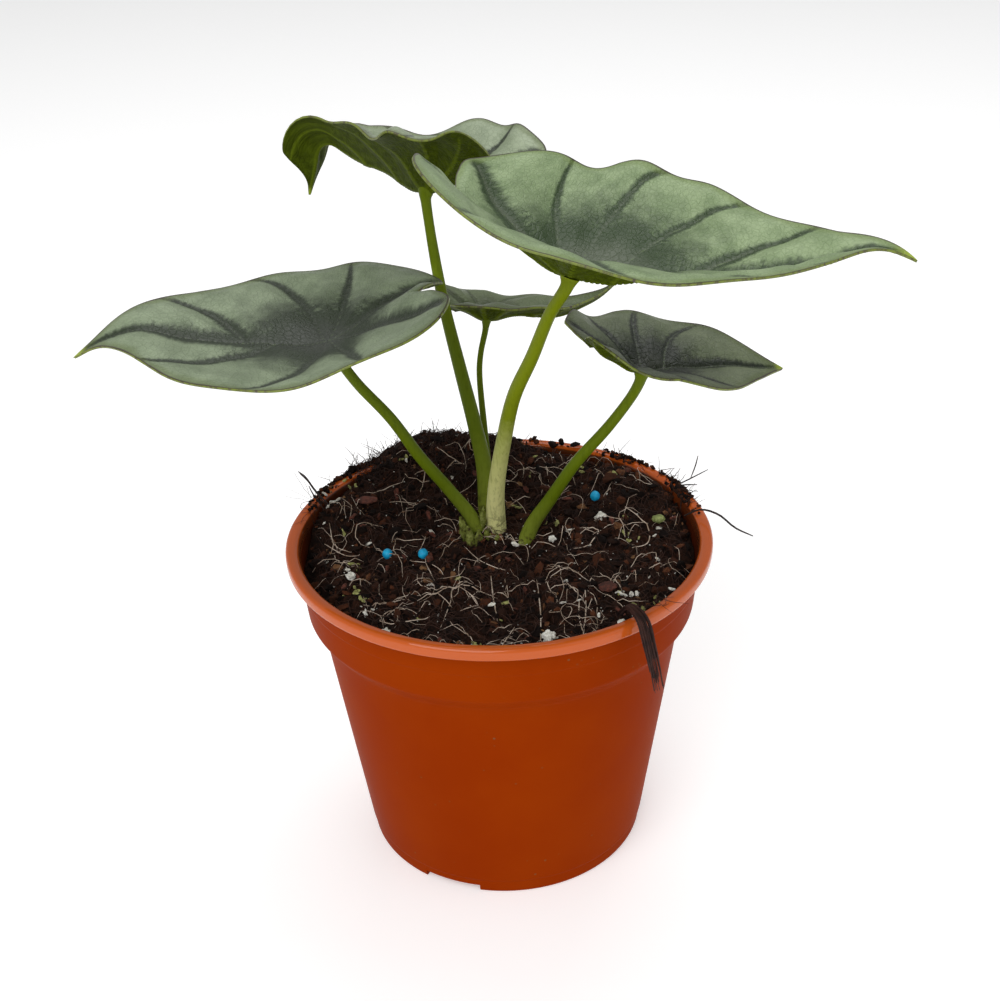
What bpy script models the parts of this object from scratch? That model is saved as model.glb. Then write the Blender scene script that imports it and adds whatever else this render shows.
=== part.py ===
"""A young alocasia in a round nursery pot, in metres, +Z up, resting on the ground at z = 0.

The pot's axis is the Z axis. The plant is five shield-shaped leaf blades, each on its own petiole,
which stand on a corm in the potting mix. Lengths below are in millimetres and angles in degrees.
"""

import math
from dataclasses import dataclass

import bmesh
import bpy
import numpy as np
from mathutils import Matrix, Vector, noise

MM = 0.001
GAP = 0.3  # clearance between pieces that touch

# Pot
POT_HEIGHT = 96.8
WALL = 1.1
LIP_RADIUS = 60.0
LIP_HEIGHT = 3.8
COLLAR_TOP_RADIUS = 57.2
COLLAR_FOOT_RADIUS = 55.2
COLLAR_DROP = 20.6  # from the rim down to the foot of the collar
SHOULDER_RADIUS = 51.2
SHOULDER_DROP = 25.0
FOOT_RADIUS = 41.0
SKIRT_WIDTH = 2.4
PAD_RADIUS = 22.0  # flat middle of the base, which rests on the ground
CHANNEL_HEIGHT = 3.0  # the drain channel stands this far off the ground
DRAIN_HOLES = 8
DRAIN_RADIUS = 2.4
DRAIN_CIRCLE = 31.0
NOTCHES = 3
NOTCH_HEIGHT = 2.4
NOTCH_ANGLE = 24.0
FIRST_NOTCH = -114.0
POT_STEPS = 72

# Potting mix
MIX_LEVEL = 89.0
MIX_STEPS = 60
MOUND_HEIGHT = 13.5
MOUND_CENTRE = (-19.0, 50.0)
MOUND_SPREAD = (26.0, 15.0)
CROWN_RISE = 2.0
CROWN_SPREAD = 22.0
BANKS = (((44.0, 30.0), 17.0, 7.5), ((-50.0, 20.0), 10.0, 5.5))  # centre, spread and rise of each

# Corm and petioles
CROWN = (-0.5, 14.0)
CORM_TOP = 83.5
CORM_RADII = ((0.0, 83.5), (10.5, 83.5), (12.4, 80.0), (11.6, 73.0), (7.0, 64.0), (0.0, 61.0))
PETIOLE_FOOT = CORM_TOP + GAP + 0.8  # clear of the slanted foot of a leaning stalk
BLADE_THICKNESS = 0.9
JOINT_SLACK = 1.1  # room for the slope of the blade over the top of its stalk
NECK = 2.2  # length of the stalk's last stretch, which leans halfway to square
PETIOLE_POINTS = 20
BLADE_ROWS = 30
BLADE_RIBS = 12


@dataclass(frozen=True)
class Blade:
    """One leaf blade, in its own frame: +X towards the tip, +Z up, the petiole's joint at 0."""

    side: str
    joint: tuple
    heading: float  # of the tip, turned from +X
    pitch: float  # lifts the tip
    roll: float
    tip: float  # from the joint to the tip
    lobe: float  # from the joint back to the ends of the two lobes
    notch: float  # from the joint back to where the lobes part
    half_width: float
    cup: tuple  # rise of the right and left halves beside the midrib
    curl: tuple  # how far the right and left margins roll down
    arch: tuple  # even bend of the midrib, behind and before the joint
    twist: tuple  # turn about the midrib, behind and before the joint
    droop: float  # bend of the tip
    droop_span: tuple
    lobe_lift: tuple
    wave: tuple
    wave_phase: tuple
    waves: float
    wave_stretch: float = 0.0  # makes the waves closer towards the tip
    lobe_width: float = 0.5  # half width at the ends of the lobes, as a share
    shoulder: float = 1.0
    taper: float = 1.0
    tip_width: float = 0.1
    dimple: float = 2.0


BLADES = (
    Blade("left", (-43.0, -1.0, 156.4), 184, -10.5, 16, 68, 33, 27, 39.7, cup=(21.5, -16.5), curl=(-24, -1.5),
          arch=(-28, -41), twist=(-2.7, -7.5), droop=63, droop_span=(0.59, 1.0), lobe_lift=(-8, -1.3),
          wave=(0.6, -0.75), wave_phase=(-0.27, 0.03), waves=3.0, lobe_width=0.48, taper=1.05, tip_width=0.08),
    Blade("tall", (-17.2, 34.0, 185.2), 149, 0.5, 8, 48, 29.5, 22, 32.5, cup=(18.7, 46), curl=(-39, -0.6),
          arch=(-31, -32.5), twist=(6, 2.5), droop=106, droop_span=(0.66, 0.76), lobe_lift=(-8.5, 1.1),
          wave=(2.2, 1.8), wave_phase=(0.11, 0.62), waves=2.94, lobe_width=0.62, shoulder=0.8, taper=0.98,
          tip_width=0.07, dimple=3.0),
    Blade("front", (19.2, -25.0, 181.0), -15.5, -12.1, -31, 81.7, 44.7, 36, 43.2, cup=(-3.7, 38.8),
          curl=(15.5, -59), arch=(-38, -41.5), twist=(0, 9.2), droop=54.5, droop_span=(0.82, 1.0),
          lobe_lift=(0.2, -1.4), wave=(0.4, 1.3), wave_phase=(0.0, 0.07), waves=3.5, wave_stretch=1.45,
          lobe_width=0.39, shoulder=1.13, taper=1.18, tip_width=0.12, dimple=3.0),
    Blade("back", (-1.75, 43.0, 143.6), 9, -8, -12.5, 43.2, 13, 9.7, 15.8, cup=(26, 28), curl=(6, 10),
          arch=(-4, -4), twist=(-6, 2.4), droop=-42, droop_span=(0.3, 1.0), lobe_lift=(0.5, 2),
          wave=(-0.5, 0.6), wave_phase=(0.06, 0.3), waves=3.0),
    Blade("right", (39.0, -6.0, 147.3), 12.5, -10.5, -10, 39.8, 23, 17, 25.4, cup=(2, 23), curl=(-5, -12.5),
          arch=(-36.5, -6), twist=(-2, 18), droop=5.5, droop_span=(0.5, 1.0), lobe_lift=(1.6, -3),
          wave=(0.25, 1.4), wave_phase=(0.08, 0.18), waves=2.5, lobe_width=0.46, taper=1.06, tip_width=0.13),
)

# Middle of each petiole from the crown up to just under its joint, and its radius at foot and top
PETIOLES = {
    "left": (((-5.5, 8.5, 84), (-7.2, 7.4, 96), (-13.4, 5.7, 107), (-21.2, 3.7, 119), (-28.4, 1.6, 132),
              (-36.5, -0.5, 143.5)), (1.9, 1.35)),
    "tall": (((-3, 18, 84), (-3.1, 18.8, 94), (-3.8, 21, 107), (-6.2, 23, 120), (-9.6, 25.6, 135.5),
              (-13.2, 28.5, 152.5), (-15.7, 31.2, 168.6)), (2.55, 1.25)),
    "front": (((-0.7, 12.8, 84), (-0.8, 9.5, 96), (-0.2, 5, 109), (2, -1, 125), (5, -7.8, 141.5),
               (9.9, -13.4, 155.2), (14.1, -19.4, 168.6)), (2.6, 1.45)),
    "back": (((-2.2, 23.2, 84), (-2.5, 27, 97), (-2.8, 30, 105.7), (-3.5, 33, 115), (-4.3, 37, 127.6),
              (-3.8, 39.8, 134)), (1.1, 0.8)),
    "right": (((6.5, 5, 84), (9.0, 3.9, 95), (15.0, 1.8, 106), (21.8, -0.6, 118), (30.0, -2.6, 129),
               (35.6, -4.6, 138)), (2.0, 1.3)),
}

# Loose things on the potting mix
PRILL_RADIUS = 1.5
PRILLS = ((-31.5, -2.7), (-21.5, -3.2), (28.6, 19.9))
PERLITE = ((12.2, -45.4, 2.0), (-30.3, -41.7, 1.5), (29.7, 11.3, 1.6), (15.1, 1.9, 1.3), (-41.4, -12.1, 1.5))
CHIPS = ((-38.8, 23.4, 20.0), (29.1, -22.3, -35.0))
CHIP_SIZE = (6.0, 3.6, 1.4)
POD_PLACE = (46.1, 8.5)
POD_SIZE = (2.0, 1.4, 1.1)
SCALE_ROUTE = ((-8.6, 3.0, 92.4), (-9.4, 2.6, 94.2), (-9.9, 3.2, 96.6), (-9.4, 4.2, 98.8))
SCALE_RADII = (1.1, 0.4)
STRIP_ROUTE = ((30.6, -40.5, 93.6), (32.4, -44.6, 98.6), (33.9, -48.2, 100.0), (35.8, -51.6, 98.6),
               (37.2, -53.3, 93.0), (38.6, -52.2, 86.0), (40.4, -49.4, 76.0))
STRIP_WIDTH = 3.7
STRIP_THICKNESS = 1.0
STRAY_ROOTS = {
    "right": (((53, 6, 96.5), (57.5, 4.5, 99.2), (62, 0.5, 99.6), (66, -4, 97.8), (70.3, -8.4, 97.5)), 0.3),
    "left": (((-49.5, 17.5, 97.5), (-53.5, 22, 99.7), (-57, 29, 100.6), (-60.2, 37, 98.5)), 0.3),
}

COLOURS = {
    "pot_plastic": ((0.42, 0.085, 0.016), 0.42),
    "potting_mix": ((0.035, 0.017, 0.009), 0.95),
    "corm_skin": ((0.13, 0.075, 0.035), 0.8),
    "petiole": ((0.21, 0.27, 0.045), 0.45),
    "blade": ((0.14, 0.22, 0.11), 0.4),
    "prill": ((0.02, 0.36, 0.56), 0.5),
    "perlite": ((0.75, 0.73, 0.66), 0.9),
    "bark": ((0.07, 0.03, 0.018), 0.9),
    "pod": ((0.25, 0.36, 0.06), 0.7),
    "root": ((0.3, 0.2, 0.11), 0.85),
}


def clear_scene():
    """Removes every object that is there at the start."""
    for thing in list(bpy.data.objects):
        bpy.data.objects.remove(thing)


def collection(name):
    """A new collection in the scene."""
    made = bpy.data.collections.new(name)
    bpy.context.scene.collection.children.link(made)
    return made


def material(name):
    """The Principled material of this name, made once."""
    found = bpy.data.materials.get(name)
    if found:
        return found
    colour, roughness = COLOURS[name]
    made = bpy.data.materials.new(name)
    made.use_nodes = True
    shader = made.node_tree.nodes["Principled BSDF"]
    shader.inputs["Base Color"].default_value = (*colour, 1.0)
    shader.inputs["Roughness"].default_value = roughness
    return made


def add_object(name, data, finish, group):
    """An object of this mesh or curve, with its material, in a collection."""
    thing = bpy.data.objects.new(name, data)
    if finish:
        data.materials.append(material(finish))
    group.objects.link(thing)
    return thing


def add_mesh(name, shape, finish, group, smooth=True):
    """Turns a bmesh in millimetres into an object."""
    bmesh.ops.scale(shape, vec=(MM, MM, MM), verts=shape.verts)
    mesh = bpy.data.meshes.new(name)
    shape.to_mesh(mesh)
    shape.free()
    if smooth:
        mesh.shade_smooth()
        mesh.set_sharp_from_angle(angle=math.radians(35))
    return add_object(name, mesh, finish, group)


def hide_cutter(thing):
    """Marks a cutter, which is not a piece of the plant."""
    thing.hide_render = True
    thing.display_type = "WIRE"
    return thing


def cut(thing, cutter):
    """Takes a cutter's volume away from an object."""
    modifier = thing.modifiers.new("cut " + cutter.name, "BOOLEAN")
    modifier.operation = "DIFFERENCE"
    modifier.object = cutter


def turned(profile, steps):
    """A solid of revolution about Z from a profile that starts and ends on the axis, top first."""
    shape = bmesh.new()
    points = [shape.verts.new((radius, 0, height)) for radius, height in profile]
    edges = [shape.edges.new(pair) for pair in zip(points, points[1:])]
    bmesh.ops.spin(shape, geom=points + edges, cent=(0, 0, 0), axis=(0, 0, 1), dvec=(0, 0, 0),
                   angle=math.tau, steps=steps, use_merge=True)
    bmesh.ops.remove_doubles(shape, verts=shape.verts, dist=0.001)
    bmesh.ops.recalc_face_normals(shape, faces=shape.faces)
    return shape


def smooth_route(points, count):
    """Points along a Catmull-Rom curve through the given ones."""
    given = np.array(points, float)
    ends = np.vstack([2 * given[0] - given[1], given, 2 * given[-1] - given[-2]])
    place = np.linspace(0, len(given) - 1, count)
    first = np.minimum(place.astype(int), len(given) - 2)
    share = (place - first)[:, None]
    a, b, c, d = (ends[first + step] for step in range(4))
    return 0.5 * (2 * b + (c - a) * share + (2 * a - 5 * b + 4 * c - d) * share**2
                  + (3 * b - a - 3 * c + d) * share**3)


def tube(name, route, radii, finish, group, grow=0.0):
    """A round stem with closed ends along a route, from one radius to another."""
    data = bpy.data.curves.new(name, "CURVE")
    data.dimensions = "3D"
    data.bevel_depth = MM
    data.bevel_resolution = 2
    data.use_fill_caps = True
    line = data.splines.new("POLY")
    line.points.add(len(route) - 1)
    for index, (point, place) in enumerate(zip(line.points, route)):
        share = index / (len(route) - 1)
        point.co = (*(value * MM for value in place), 1.0)
        point.radius = radii[0] + (radii[1] - radii[0]) * share + grow
    return add_object(name, data, finish, group)


def tube_cutter(name, route, radii, group):
    """A closed mesh of a stem, wider by the gap, for cutting its bore."""
    guide = tube(name, route, radii, None, group, grow=GAP)
    graph = bpy.context.evaluated_depsgraph_get()
    mesh = bpy.data.meshes.new_from_object(guide.evaluated_get(graph))
    bpy.data.objects.remove(guide)
    shape = bmesh.new()
    shape.from_mesh(mesh)
    bmesh.ops.remove_doubles(shape, verts=shape.verts, dist=1e-6)
    bmesh.ops.recalc_face_normals(shape, faces=shape.faces)
    shape.to_mesh(mesh)
    shape.free()
    return hide_cutter(add_object(name, mesh, None, group))


def bump(x, y, centre, spread):
    """A smooth hill of height 1, as wide as its spread."""
    across, along = (x - centre[0]) / spread[0], (y - centre[1]) / spread[1]
    return math.exp(-0.5 * (across * across + along * along))


def mix_height(x, y):
    """Height of the potting mix: nearly level, heaped over the rim at the back left."""
    level = MIX_LEVEL + CROWN_RISE * bump(x, y, CROWN, (CROWN_SPREAD, CROWN_SPREAD))
    level += MOUND_HEIGHT * bump(x, y, MOUND_CENTRE, MOUND_SPREAD)
    for centre, spread, rise in BANKS:
        level += rise * bump(x, y, centre, (spread, spread))
    return level + 0.9 * noise.noise(Vector((x * 0.09, y * 0.09, 3.7)))


def inner_radius(height):
    """Inner radius of the pot's wall."""
    shoulder = POT_HEIGHT - SHOULDER_DROP
    if height > POT_HEIGHT - COLLAR_DROP:
        share = (POT_HEIGHT - height) / COLLAR_DROP
        return COLLAR_TOP_RADIUS + (COLLAR_FOOT_RADIUS - COLLAR_TOP_RADIUS) * share - WALL
    return FOOT_RADIUS + (SHOULDER_RADIUS - FOOT_RADIUS) * min(height / shoulder, 1.0) - WALL


def make_pot(group, cutters):
    """The pot: lip, collar, tapered wall, drain channel, holes and notched foot, in one moulding."""
    top, collar, shoulder = POT_HEIGHT, POT_HEIGHT - COLLAR_DROP, POT_HEIGHT - SHOULDER_DROP
    lip = LIP_RADIUS
    floor = CHANNEL_HEIGHT + WALL
    profile = (
        (0, WALL), (PAD_RADIUS - 1, WALL), (PAD_RADIUS + 1, floor), (inner_radius(floor), floor),
        (inner_radius(shoulder - 1), shoulder - 1), (inner_radius(collar + 1), collar + 1),
        (inner_radius(top - 1), top - 1), (COLLAR_TOP_RADIUS - WALL + 0.6, top),
        (lip - 0.7, top), (lip, top - 0.7), (lip, top - LIP_HEIGHT + 0.6), (lip - 0.6, top - LIP_HEIGHT),
        (COLLAR_TOP_RADIUS - 0.3, top - LIP_HEIGHT), (COLLAR_FOOT_RADIUS, collar + 0.6),
        (COLLAR_FOOT_RADIUS - 0.6, collar), (SHOULDER_RADIUS, shoulder), (FOOT_RADIUS + 0.5, 4.5),
        (FOOT_RADIUS, 4.0), (FOOT_RADIUS - 0.3, 0), (FOOT_RADIUS - SKIRT_WIDTH, 0),
        (FOOT_RADIUS - SKIRT_WIDTH - 0.6, CHANNEL_HEIGHT), (PAD_RADIUS + 2, CHANNEL_HEIGHT),
        (PAD_RADIUS, 0), (0, 0),
    )
    pot = add_mesh("pot", turned(profile, POT_STEPS), "pot_plastic", group)
    for index in range(DRAIN_HOLES):
        cut(pot, drain_cutter(index, cutters))
    for index in range(NOTCHES):
        cut(pot, notch_cutter(index, cutters))
    return pot


def drain_cutter(index, group):
    """An upright peg through the drain channel."""
    angle = math.tau * (index + 0.5) / DRAIN_HOLES
    shape = bmesh.new()
    bmesh.ops.create_cone(shape, cap_ends=True, segments=12, radius1=DRAIN_RADIUS, radius2=DRAIN_RADIUS,
                          depth=8, matrix=Matrix.Translation((DRAIN_CIRCLE * math.cos(angle),
                                                              DRAIN_CIRCLE * math.sin(angle), 4)))
    return hide_cutter(add_mesh(f"drain_peg_{index + 1}", shape, None, group, smooth=False))


def notch_cutter(index, group):
    """A wedge-shaped block through the foot's skirt, which lets water run out."""
    middle = math.radians(FIRST_NOTCH + 360 / NOTCHES * index)
    width = 2 * FOOT_RADIUS * math.sin(math.radians(NOTCH_ANGLE / 2))
    block = Matrix.Rotation(middle, 4, "Z") @ Matrix.Translation((FOOT_RADIUS - 1, 0, 0))
    shape = bmesh.new()
    bmesh.ops.create_cube(shape, size=1, matrix=block @ Matrix.Diagonal((8, width, 2 * NOTCH_HEIGHT, 1)))
    return hide_cutter(add_mesh(f"notch_block_{index + 1}", shape, None, group, smooth=False))


def make_potting_mix(group, cutters):
    """The potting mix: it fills the pot, and its top follows mix_height."""
    floor = CHANNEL_HEIGHT + WALL + GAP
    collar, shoulder = POT_HEIGHT - COLLAR_DROP, POT_HEIGHT - SHOULDER_DROP
    rings = 11
    edge = inner_radius(MIX_LEVEL) - 3 * GAP
    profile = [(edge * index / rings, MIX_LEVEL) for index in range(rings + 1)]
    profile += [
        (inner_radius(MIX_LEVEL - 3) - 2 * GAP, MIX_LEVEL - 3), (inner_radius(collar + 1) - 2 * GAP, collar + 1.5),
        (inner_radius(shoulder - 1) - 2 * GAP, shoulder - 1), (inner_radius(floor) - 2 * GAP, floor),
        (PAD_RADIUS + 0.5, floor), (PAD_RADIUS - 2, WALL + GAP), (0, WALL + GAP),
    ]
    shape = turned(profile, MIX_STEPS)
    for point in shape.verts:
        if point.co.z > MIX_LEVEL - 0.1:
            point.co.z = mix_height(point.co.x, point.co.y)
    mix = add_mesh("potting_mix", shape, "potting_mix", group)
    corm_hole = hide_cutter(add_mesh("corm_hole", corm_shape(GAP), None, cutters))
    cut(mix, corm_hole)
    for blade in BLADES:
        line = petiole_line(blade)[:PETIOLE_POINTS // 2]
        foot = line[0] - (line[1] - line[0]) * 0.6
        radius = PETIOLES[blade.side][1][0]
        cut(mix, tube_cutter(f"{blade.side}_bore", [foot, *line], (radius, radius), cutters))
    return mix


def corm_shape(grow):
    """The corm's turned form under the crown, widened by a clearance."""
    profile = [(max(radius + grow, 0) if radius else 0, height + grow * (1 if height > 72 else -1))
               for radius, height in CORM_RADII]
    shape = turned(profile, 24)
    bmesh.ops.translate(shape, vec=(*CROWN, 0), verts=shape.verts)
    return shape


def make_corm(group):
    """The swollen stem that the petioles stand on."""
    return add_mesh("corm", corm_shape(0.0), "corm_skin", group)


def outline(blade):
    """Points of the blade's right margin from notch to tip: (along, across, foot of its rib)."""
    tip, lobe, notch, wide = blade.tip, blade.lobe, blade.notch, blade.half_width
    full = (blade.shoulder + blade.taper) / 2
    return (
        (-notch, 0, -notch),
        (-0.70 * lobe - 0.30 * notch, 0.17 * wide, -0.80 * notch),
        (-lobe, blade.lobe_width * wide, -0.45 * notch),
        (-0.80 * lobe, 0.82 * wide, -0.15 * notch),
        (-0.25 * lobe, wide, 0.05 * tip),
        (0.22 * tip, 0.93 * wide * blade.shoulder, 0.18 * tip),
        (0.50 * tip, 0.66 * wide * full, 0.40 * tip),
        (0.74 * tip, 0.32 * wide * blade.taper, 0.64 * tip),
        (0.89 * tip, blade.tip_width * wide, 0.84 * tip),
        (tip, 0, tip),
    )


def running_sum(slopes, step):
    """Distance covered by a line whose slope angles are given, along and up."""
    middle = (slopes[1:] + slopes[:-1]) / 2
    along = np.concatenate([[0], np.cumsum(np.cos(middle) * step)])
    up = np.concatenate([[0], np.cumsum(np.sin(middle) * step)])
    return along, up


def by_end(blade, angles, x):
    """An angle that grows from 0 at the joint to one value at the lobes and another at the tip."""
    behind, before = np.radians(angles)
    return behind * np.clip(x, None, 0) / blade.lobe + before * np.clip(x, 0, None) / blade.tip


def bent(blade, x, y):
    """Where points of the flat blade lie once it is cupped, arched, drooped, waved and twisted."""
    stations = np.linspace(-1.1 * blade.lobe, 1.02 * blade.tip, 240)
    start, end = blade.droop_span
    share = np.clip((stations / blade.tip - start) / (end - start), 0, 1)
    slope = -np.radians(blade.droop) * share**2 * (3 - 2 * share)
    slope -= by_end(blade, blade.arch, stations)
    along, up = running_sum(slope, stations[1] - stations[0])
    along -= np.interp(0, stations, along)
    up -= np.interp(0, stations, up)
    tilt = np.interp(x, stations, slope)

    out = np.abs(y) / blade.half_width
    across, rise = np.zeros_like(out), np.zeros_like(out)
    ring = np.linspace(0, 1.3, 80)
    for index, sign in enumerate((-1, 1)):
        cup, curl = np.radians(blade.cup[index]), np.radians(blade.curl[index])
        reach, lift = running_sum(cup - (cup + curl) * ring**1.6, ring[1])
        run = x / (blade.tip + blade.lobe)
        phase = blade.waves * run + blade.wave_stretch * run**2 + blade.wave_phase[index]
        height = np.interp(out, ring, lift) * blade.half_width
        height += blade.wave[index] * out**1.5 * np.sin(math.tau * phase)
        back = np.clip(-x / blade.lobe, 0, None)
        height += blade.lobe_lift[index] * back**2 * np.clip(out / 0.4, 0, 1)
        mine = y * sign > 0
        across = np.where(mine, sign * np.interp(out, ring, reach) * blade.half_width, across)
        rise = np.where(mine, height, rise)
    rise += blade.dimple * (1 - np.exp(-(x**2 + y**2) / (0.3 * blade.half_width) ** 2))

    turn = by_end(blade, blade.twist, x)
    lifted = np.cos(tilt) * rise
    return np.stack([
        np.interp(x, stations, along) - np.sin(tilt) * rise,
        across * np.cos(turn) - lifted * np.sin(turn),
        np.interp(x, stations, up) + across * np.sin(turn) + lifted * np.cos(turn),
    ], axis=-1)


def blade_frame(blade):
    """The matrix that stands a blade on its petiole, in millimetres."""
    turn = Matrix.Rotation(math.radians(blade.heading), 4, "Z")
    turn = turn @ Matrix.Rotation(math.radians(-blade.pitch), 4, "Y")
    turn = turn @ Matrix.Rotation(math.radians(blade.roll), 4, "X")
    return Matrix.Translation(blade.joint) @ turn


def make_blade(blade, group):
    """One leaf blade: a sheet between its margins, bent to its form and thickened downwards."""
    shape = bmesh.new()
    bmesh.ops.create_grid(shape, x_segments=BLADE_ROWS, y_segments=BLADE_RIBS, size=0.5)
    flat = np.array([point.co for point in shape.verts])
    margin = smooth_route(outline(blade), 400)
    row = (flat[:, 0] + 0.5) * (len(margin) - 1)
    edge_x, edge_y, foot = (np.interp(row, np.arange(len(margin)), margin[:, k]) for k in range(3))
    side = flat[:, 1] * 2
    x = foot + (edge_x - foot) * np.abs(side)
    place = blade_frame(blade)
    for point, where in zip(shape.verts, bent(blade, x, edge_y * side)):
        point.co = place @ Vector(where)
    bmesh.ops.remove_doubles(shape, verts=shape.verts, dist=0.02)
    leaf = add_mesh(f"leaf_blade_{blade.side}", shape, "blade", group)
    shell = leaf.modifiers.new("thickness", "SOLIDIFY")
    shell.thickness = BLADE_THICKNESS * MM
    shell.offset = -1
    return leaf


def petiole_line(blade):
    """Points along a petiole, from the corm to its bend under the blade's joint."""
    route = PETIOLES[blade.side][0]
    place = blade_frame(blade)
    top = place @ Vector((0, 0, -BLADE_THICKNESS - GAP - JOINT_SLACK))
    arrival = (Vector(blade.joint) - Vector(route[-1])).normalized()
    square = (Vector(blade.joint) - top).normalized()
    neck = top - NECK * (arrival + square).normalized()
    foot = (*route[0][:2], PETIOLE_FOOT)
    return smooth_route((foot, *route[1:], tuple(neck), tuple(top)), PETIOLE_POINTS)


def make_petiole(blade, group):
    """The stalk from the crown to the underside of a blade, which it meets square on."""
    return tube(f"petiole_{blade.side}", petiole_line(blade), PETIOLES[blade.side][1], "petiole", group)


def pebble(name, place, size, finish, group, turn=0.0, seed=0.0):
    """A small uneven grain that lies on the potting mix."""
    shape = bmesh.new()
    bmesh.ops.create_icosphere(shape, subdivisions=2, radius=1)
    for point in shape.verts:
        point.co *= 1 + 0.12 * noise.noise(point.co * 1.7 + Vector((seed, 0, 0)))
    bmesh.ops.scale(shape, vec=size, verts=shape.verts)
    bmesh.ops.rotate(shape, cent=(0, 0, 0), matrix=Matrix.Rotation(math.radians(turn), 3, "Z"), verts=shape.verts)
    x, y = place
    highest = max(mix_height(x + p.co.x, y + p.co.y) - p.co.z for p in shape.verts if p.co.z < 0)
    bmesh.ops.translate(shape, vec=(x, y, highest + GAP + 0.3), verts=shape.verts)
    return add_mesh(name, shape, finish, group)


def make_top_dressing(group):
    """Fertiliser prills, perlite, bark chips and a seed pod on the potting mix."""
    for index, place in enumerate(PRILLS):
        pebble(f"fertiliser_prill_{index + 1}", place, (PRILL_RADIUS,) * 3, "prill", group)
    for index, (x, y, radius) in enumerate(PERLITE):
        pebble(f"perlite_grain_{index + 1}", (x, y), (radius, radius * 0.9, radius * 0.8), "perlite", group,
               seed=index)
    for index, (x, y, turn) in enumerate(CHIPS):
        size = tuple(length / 2 for length in CHIP_SIZE)
        pebble(f"bark_chip_{index + 1}", (x, y), size, "bark", group, turn, seed=index + 7)
    pebble("green_pod", POD_PLACE, POD_SIZE, "pod", group, 30)


def make_sheath(group):
    """The dry tip of an old leaf sheath, standing beside the crown."""
    return tube("sheath_remnant", smooth_route(SCALE_ROUTE, 8), SCALE_RADII, "bark", group)


def make_bark_strip(group):
    """A strip of coarse bark fibre that lies over the rim and hangs down outside."""
    steps = 18
    shape = bmesh.new()
    bmesh.ops.create_grid(shape, x_segments=steps, y_segments=1, size=0.5)
    line = smooth_route(STRIP_ROUTE, steps + 1)
    for point in shape.verts:
        index = round((point.co.x + 0.5) * steps)
        outward = Vector((line[index][0], line[index][1], 0)).normalized()
        sideways = outward.cross(Vector((0, 0, 1)))
        point.co = Vector(line[index]) + sideways * math.copysign(STRIP_WIDTH / 2, -point.co.y)
    strip = add_mesh("bark_strip", shape, "bark", group)
    shell = strip.modifiers.new("thickness", "SOLIDIFY")
    shell.thickness = STRIP_THICKNESS * MM
    shell.offset = 0
    return strip


def make_stray_roots(group):
    """Two dry rootlets that stick out over the rim."""
    for side, (route, radius) in STRAY_ROOTS.items():
        tube(f"stray_root_{side}", smooth_route(route, 12), (radius, radius * 0.7), "root", group)


def main():
    """Makes the whole potted plant."""
    clear_scene()
    group = collection("potted_alocasia")
    cutters = collection("cutters")
    make_pot(group, cutters)
    make_potting_mix(group, cutters)
    make_corm(group)
    for blade in BLADES:
        make_blade(blade, group)
        make_petiole(blade, group)
    make_sheath(group)
    make_top_dressing(group)
    make_bark_strip(group)
    make_stray_roots(group)


main()
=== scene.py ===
"""A young alocasia in a terracotta-coloured nursery pot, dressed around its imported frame.

Lengths are millimetres and angles are degrees, unless a comment says otherwise. The pot's axis is
the Z axis, +Z is up, and the pot rests on the ground at z = 0. Each piece is modelled in
millimetres and brought to metres as its last step.
"""

import logging
import math
import random
from dataclasses import dataclass, field
from enum import Enum
from typing import Any, Sequence

import bmesh
import bpy
import numpy as np
from mathutils import Matrix, Vector, noise


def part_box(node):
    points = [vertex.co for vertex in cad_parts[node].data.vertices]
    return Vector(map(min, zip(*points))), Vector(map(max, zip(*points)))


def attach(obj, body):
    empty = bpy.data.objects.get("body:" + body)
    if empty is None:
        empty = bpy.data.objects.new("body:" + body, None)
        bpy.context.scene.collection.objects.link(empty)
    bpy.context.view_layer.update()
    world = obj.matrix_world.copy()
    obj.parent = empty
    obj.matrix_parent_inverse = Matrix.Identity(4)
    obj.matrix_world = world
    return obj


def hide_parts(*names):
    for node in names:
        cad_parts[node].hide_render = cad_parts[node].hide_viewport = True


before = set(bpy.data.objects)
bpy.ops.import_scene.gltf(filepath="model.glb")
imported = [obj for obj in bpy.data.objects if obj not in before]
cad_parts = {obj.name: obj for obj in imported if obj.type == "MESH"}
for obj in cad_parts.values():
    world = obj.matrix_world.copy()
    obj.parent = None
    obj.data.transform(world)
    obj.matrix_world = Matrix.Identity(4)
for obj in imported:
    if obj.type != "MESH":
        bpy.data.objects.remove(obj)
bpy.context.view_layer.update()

MM = 0.001
NOISE_SEED = 7  # noise vectors are offset by the clock unless a seed is set
ROUNDING_ROOM = 0.45  # share of a side that the rounding of its corner may take
STRAND_TIP = 0.35  # share of a strand's radius that is left at its ends
FEWEST_POINTS = 5  # a line with fewer is too short to be a fibre
LOG = logging.getLogger("alocasia")
Colour = tuple[float, float, float]
Point = tuple[float, float, float]


class Body(Enum):
    """The bodies that pieces ride on: nothing moves, so there is one."""

    ROOT = "root"


# ---------------------------------------------------------------------------------------- shading


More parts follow.
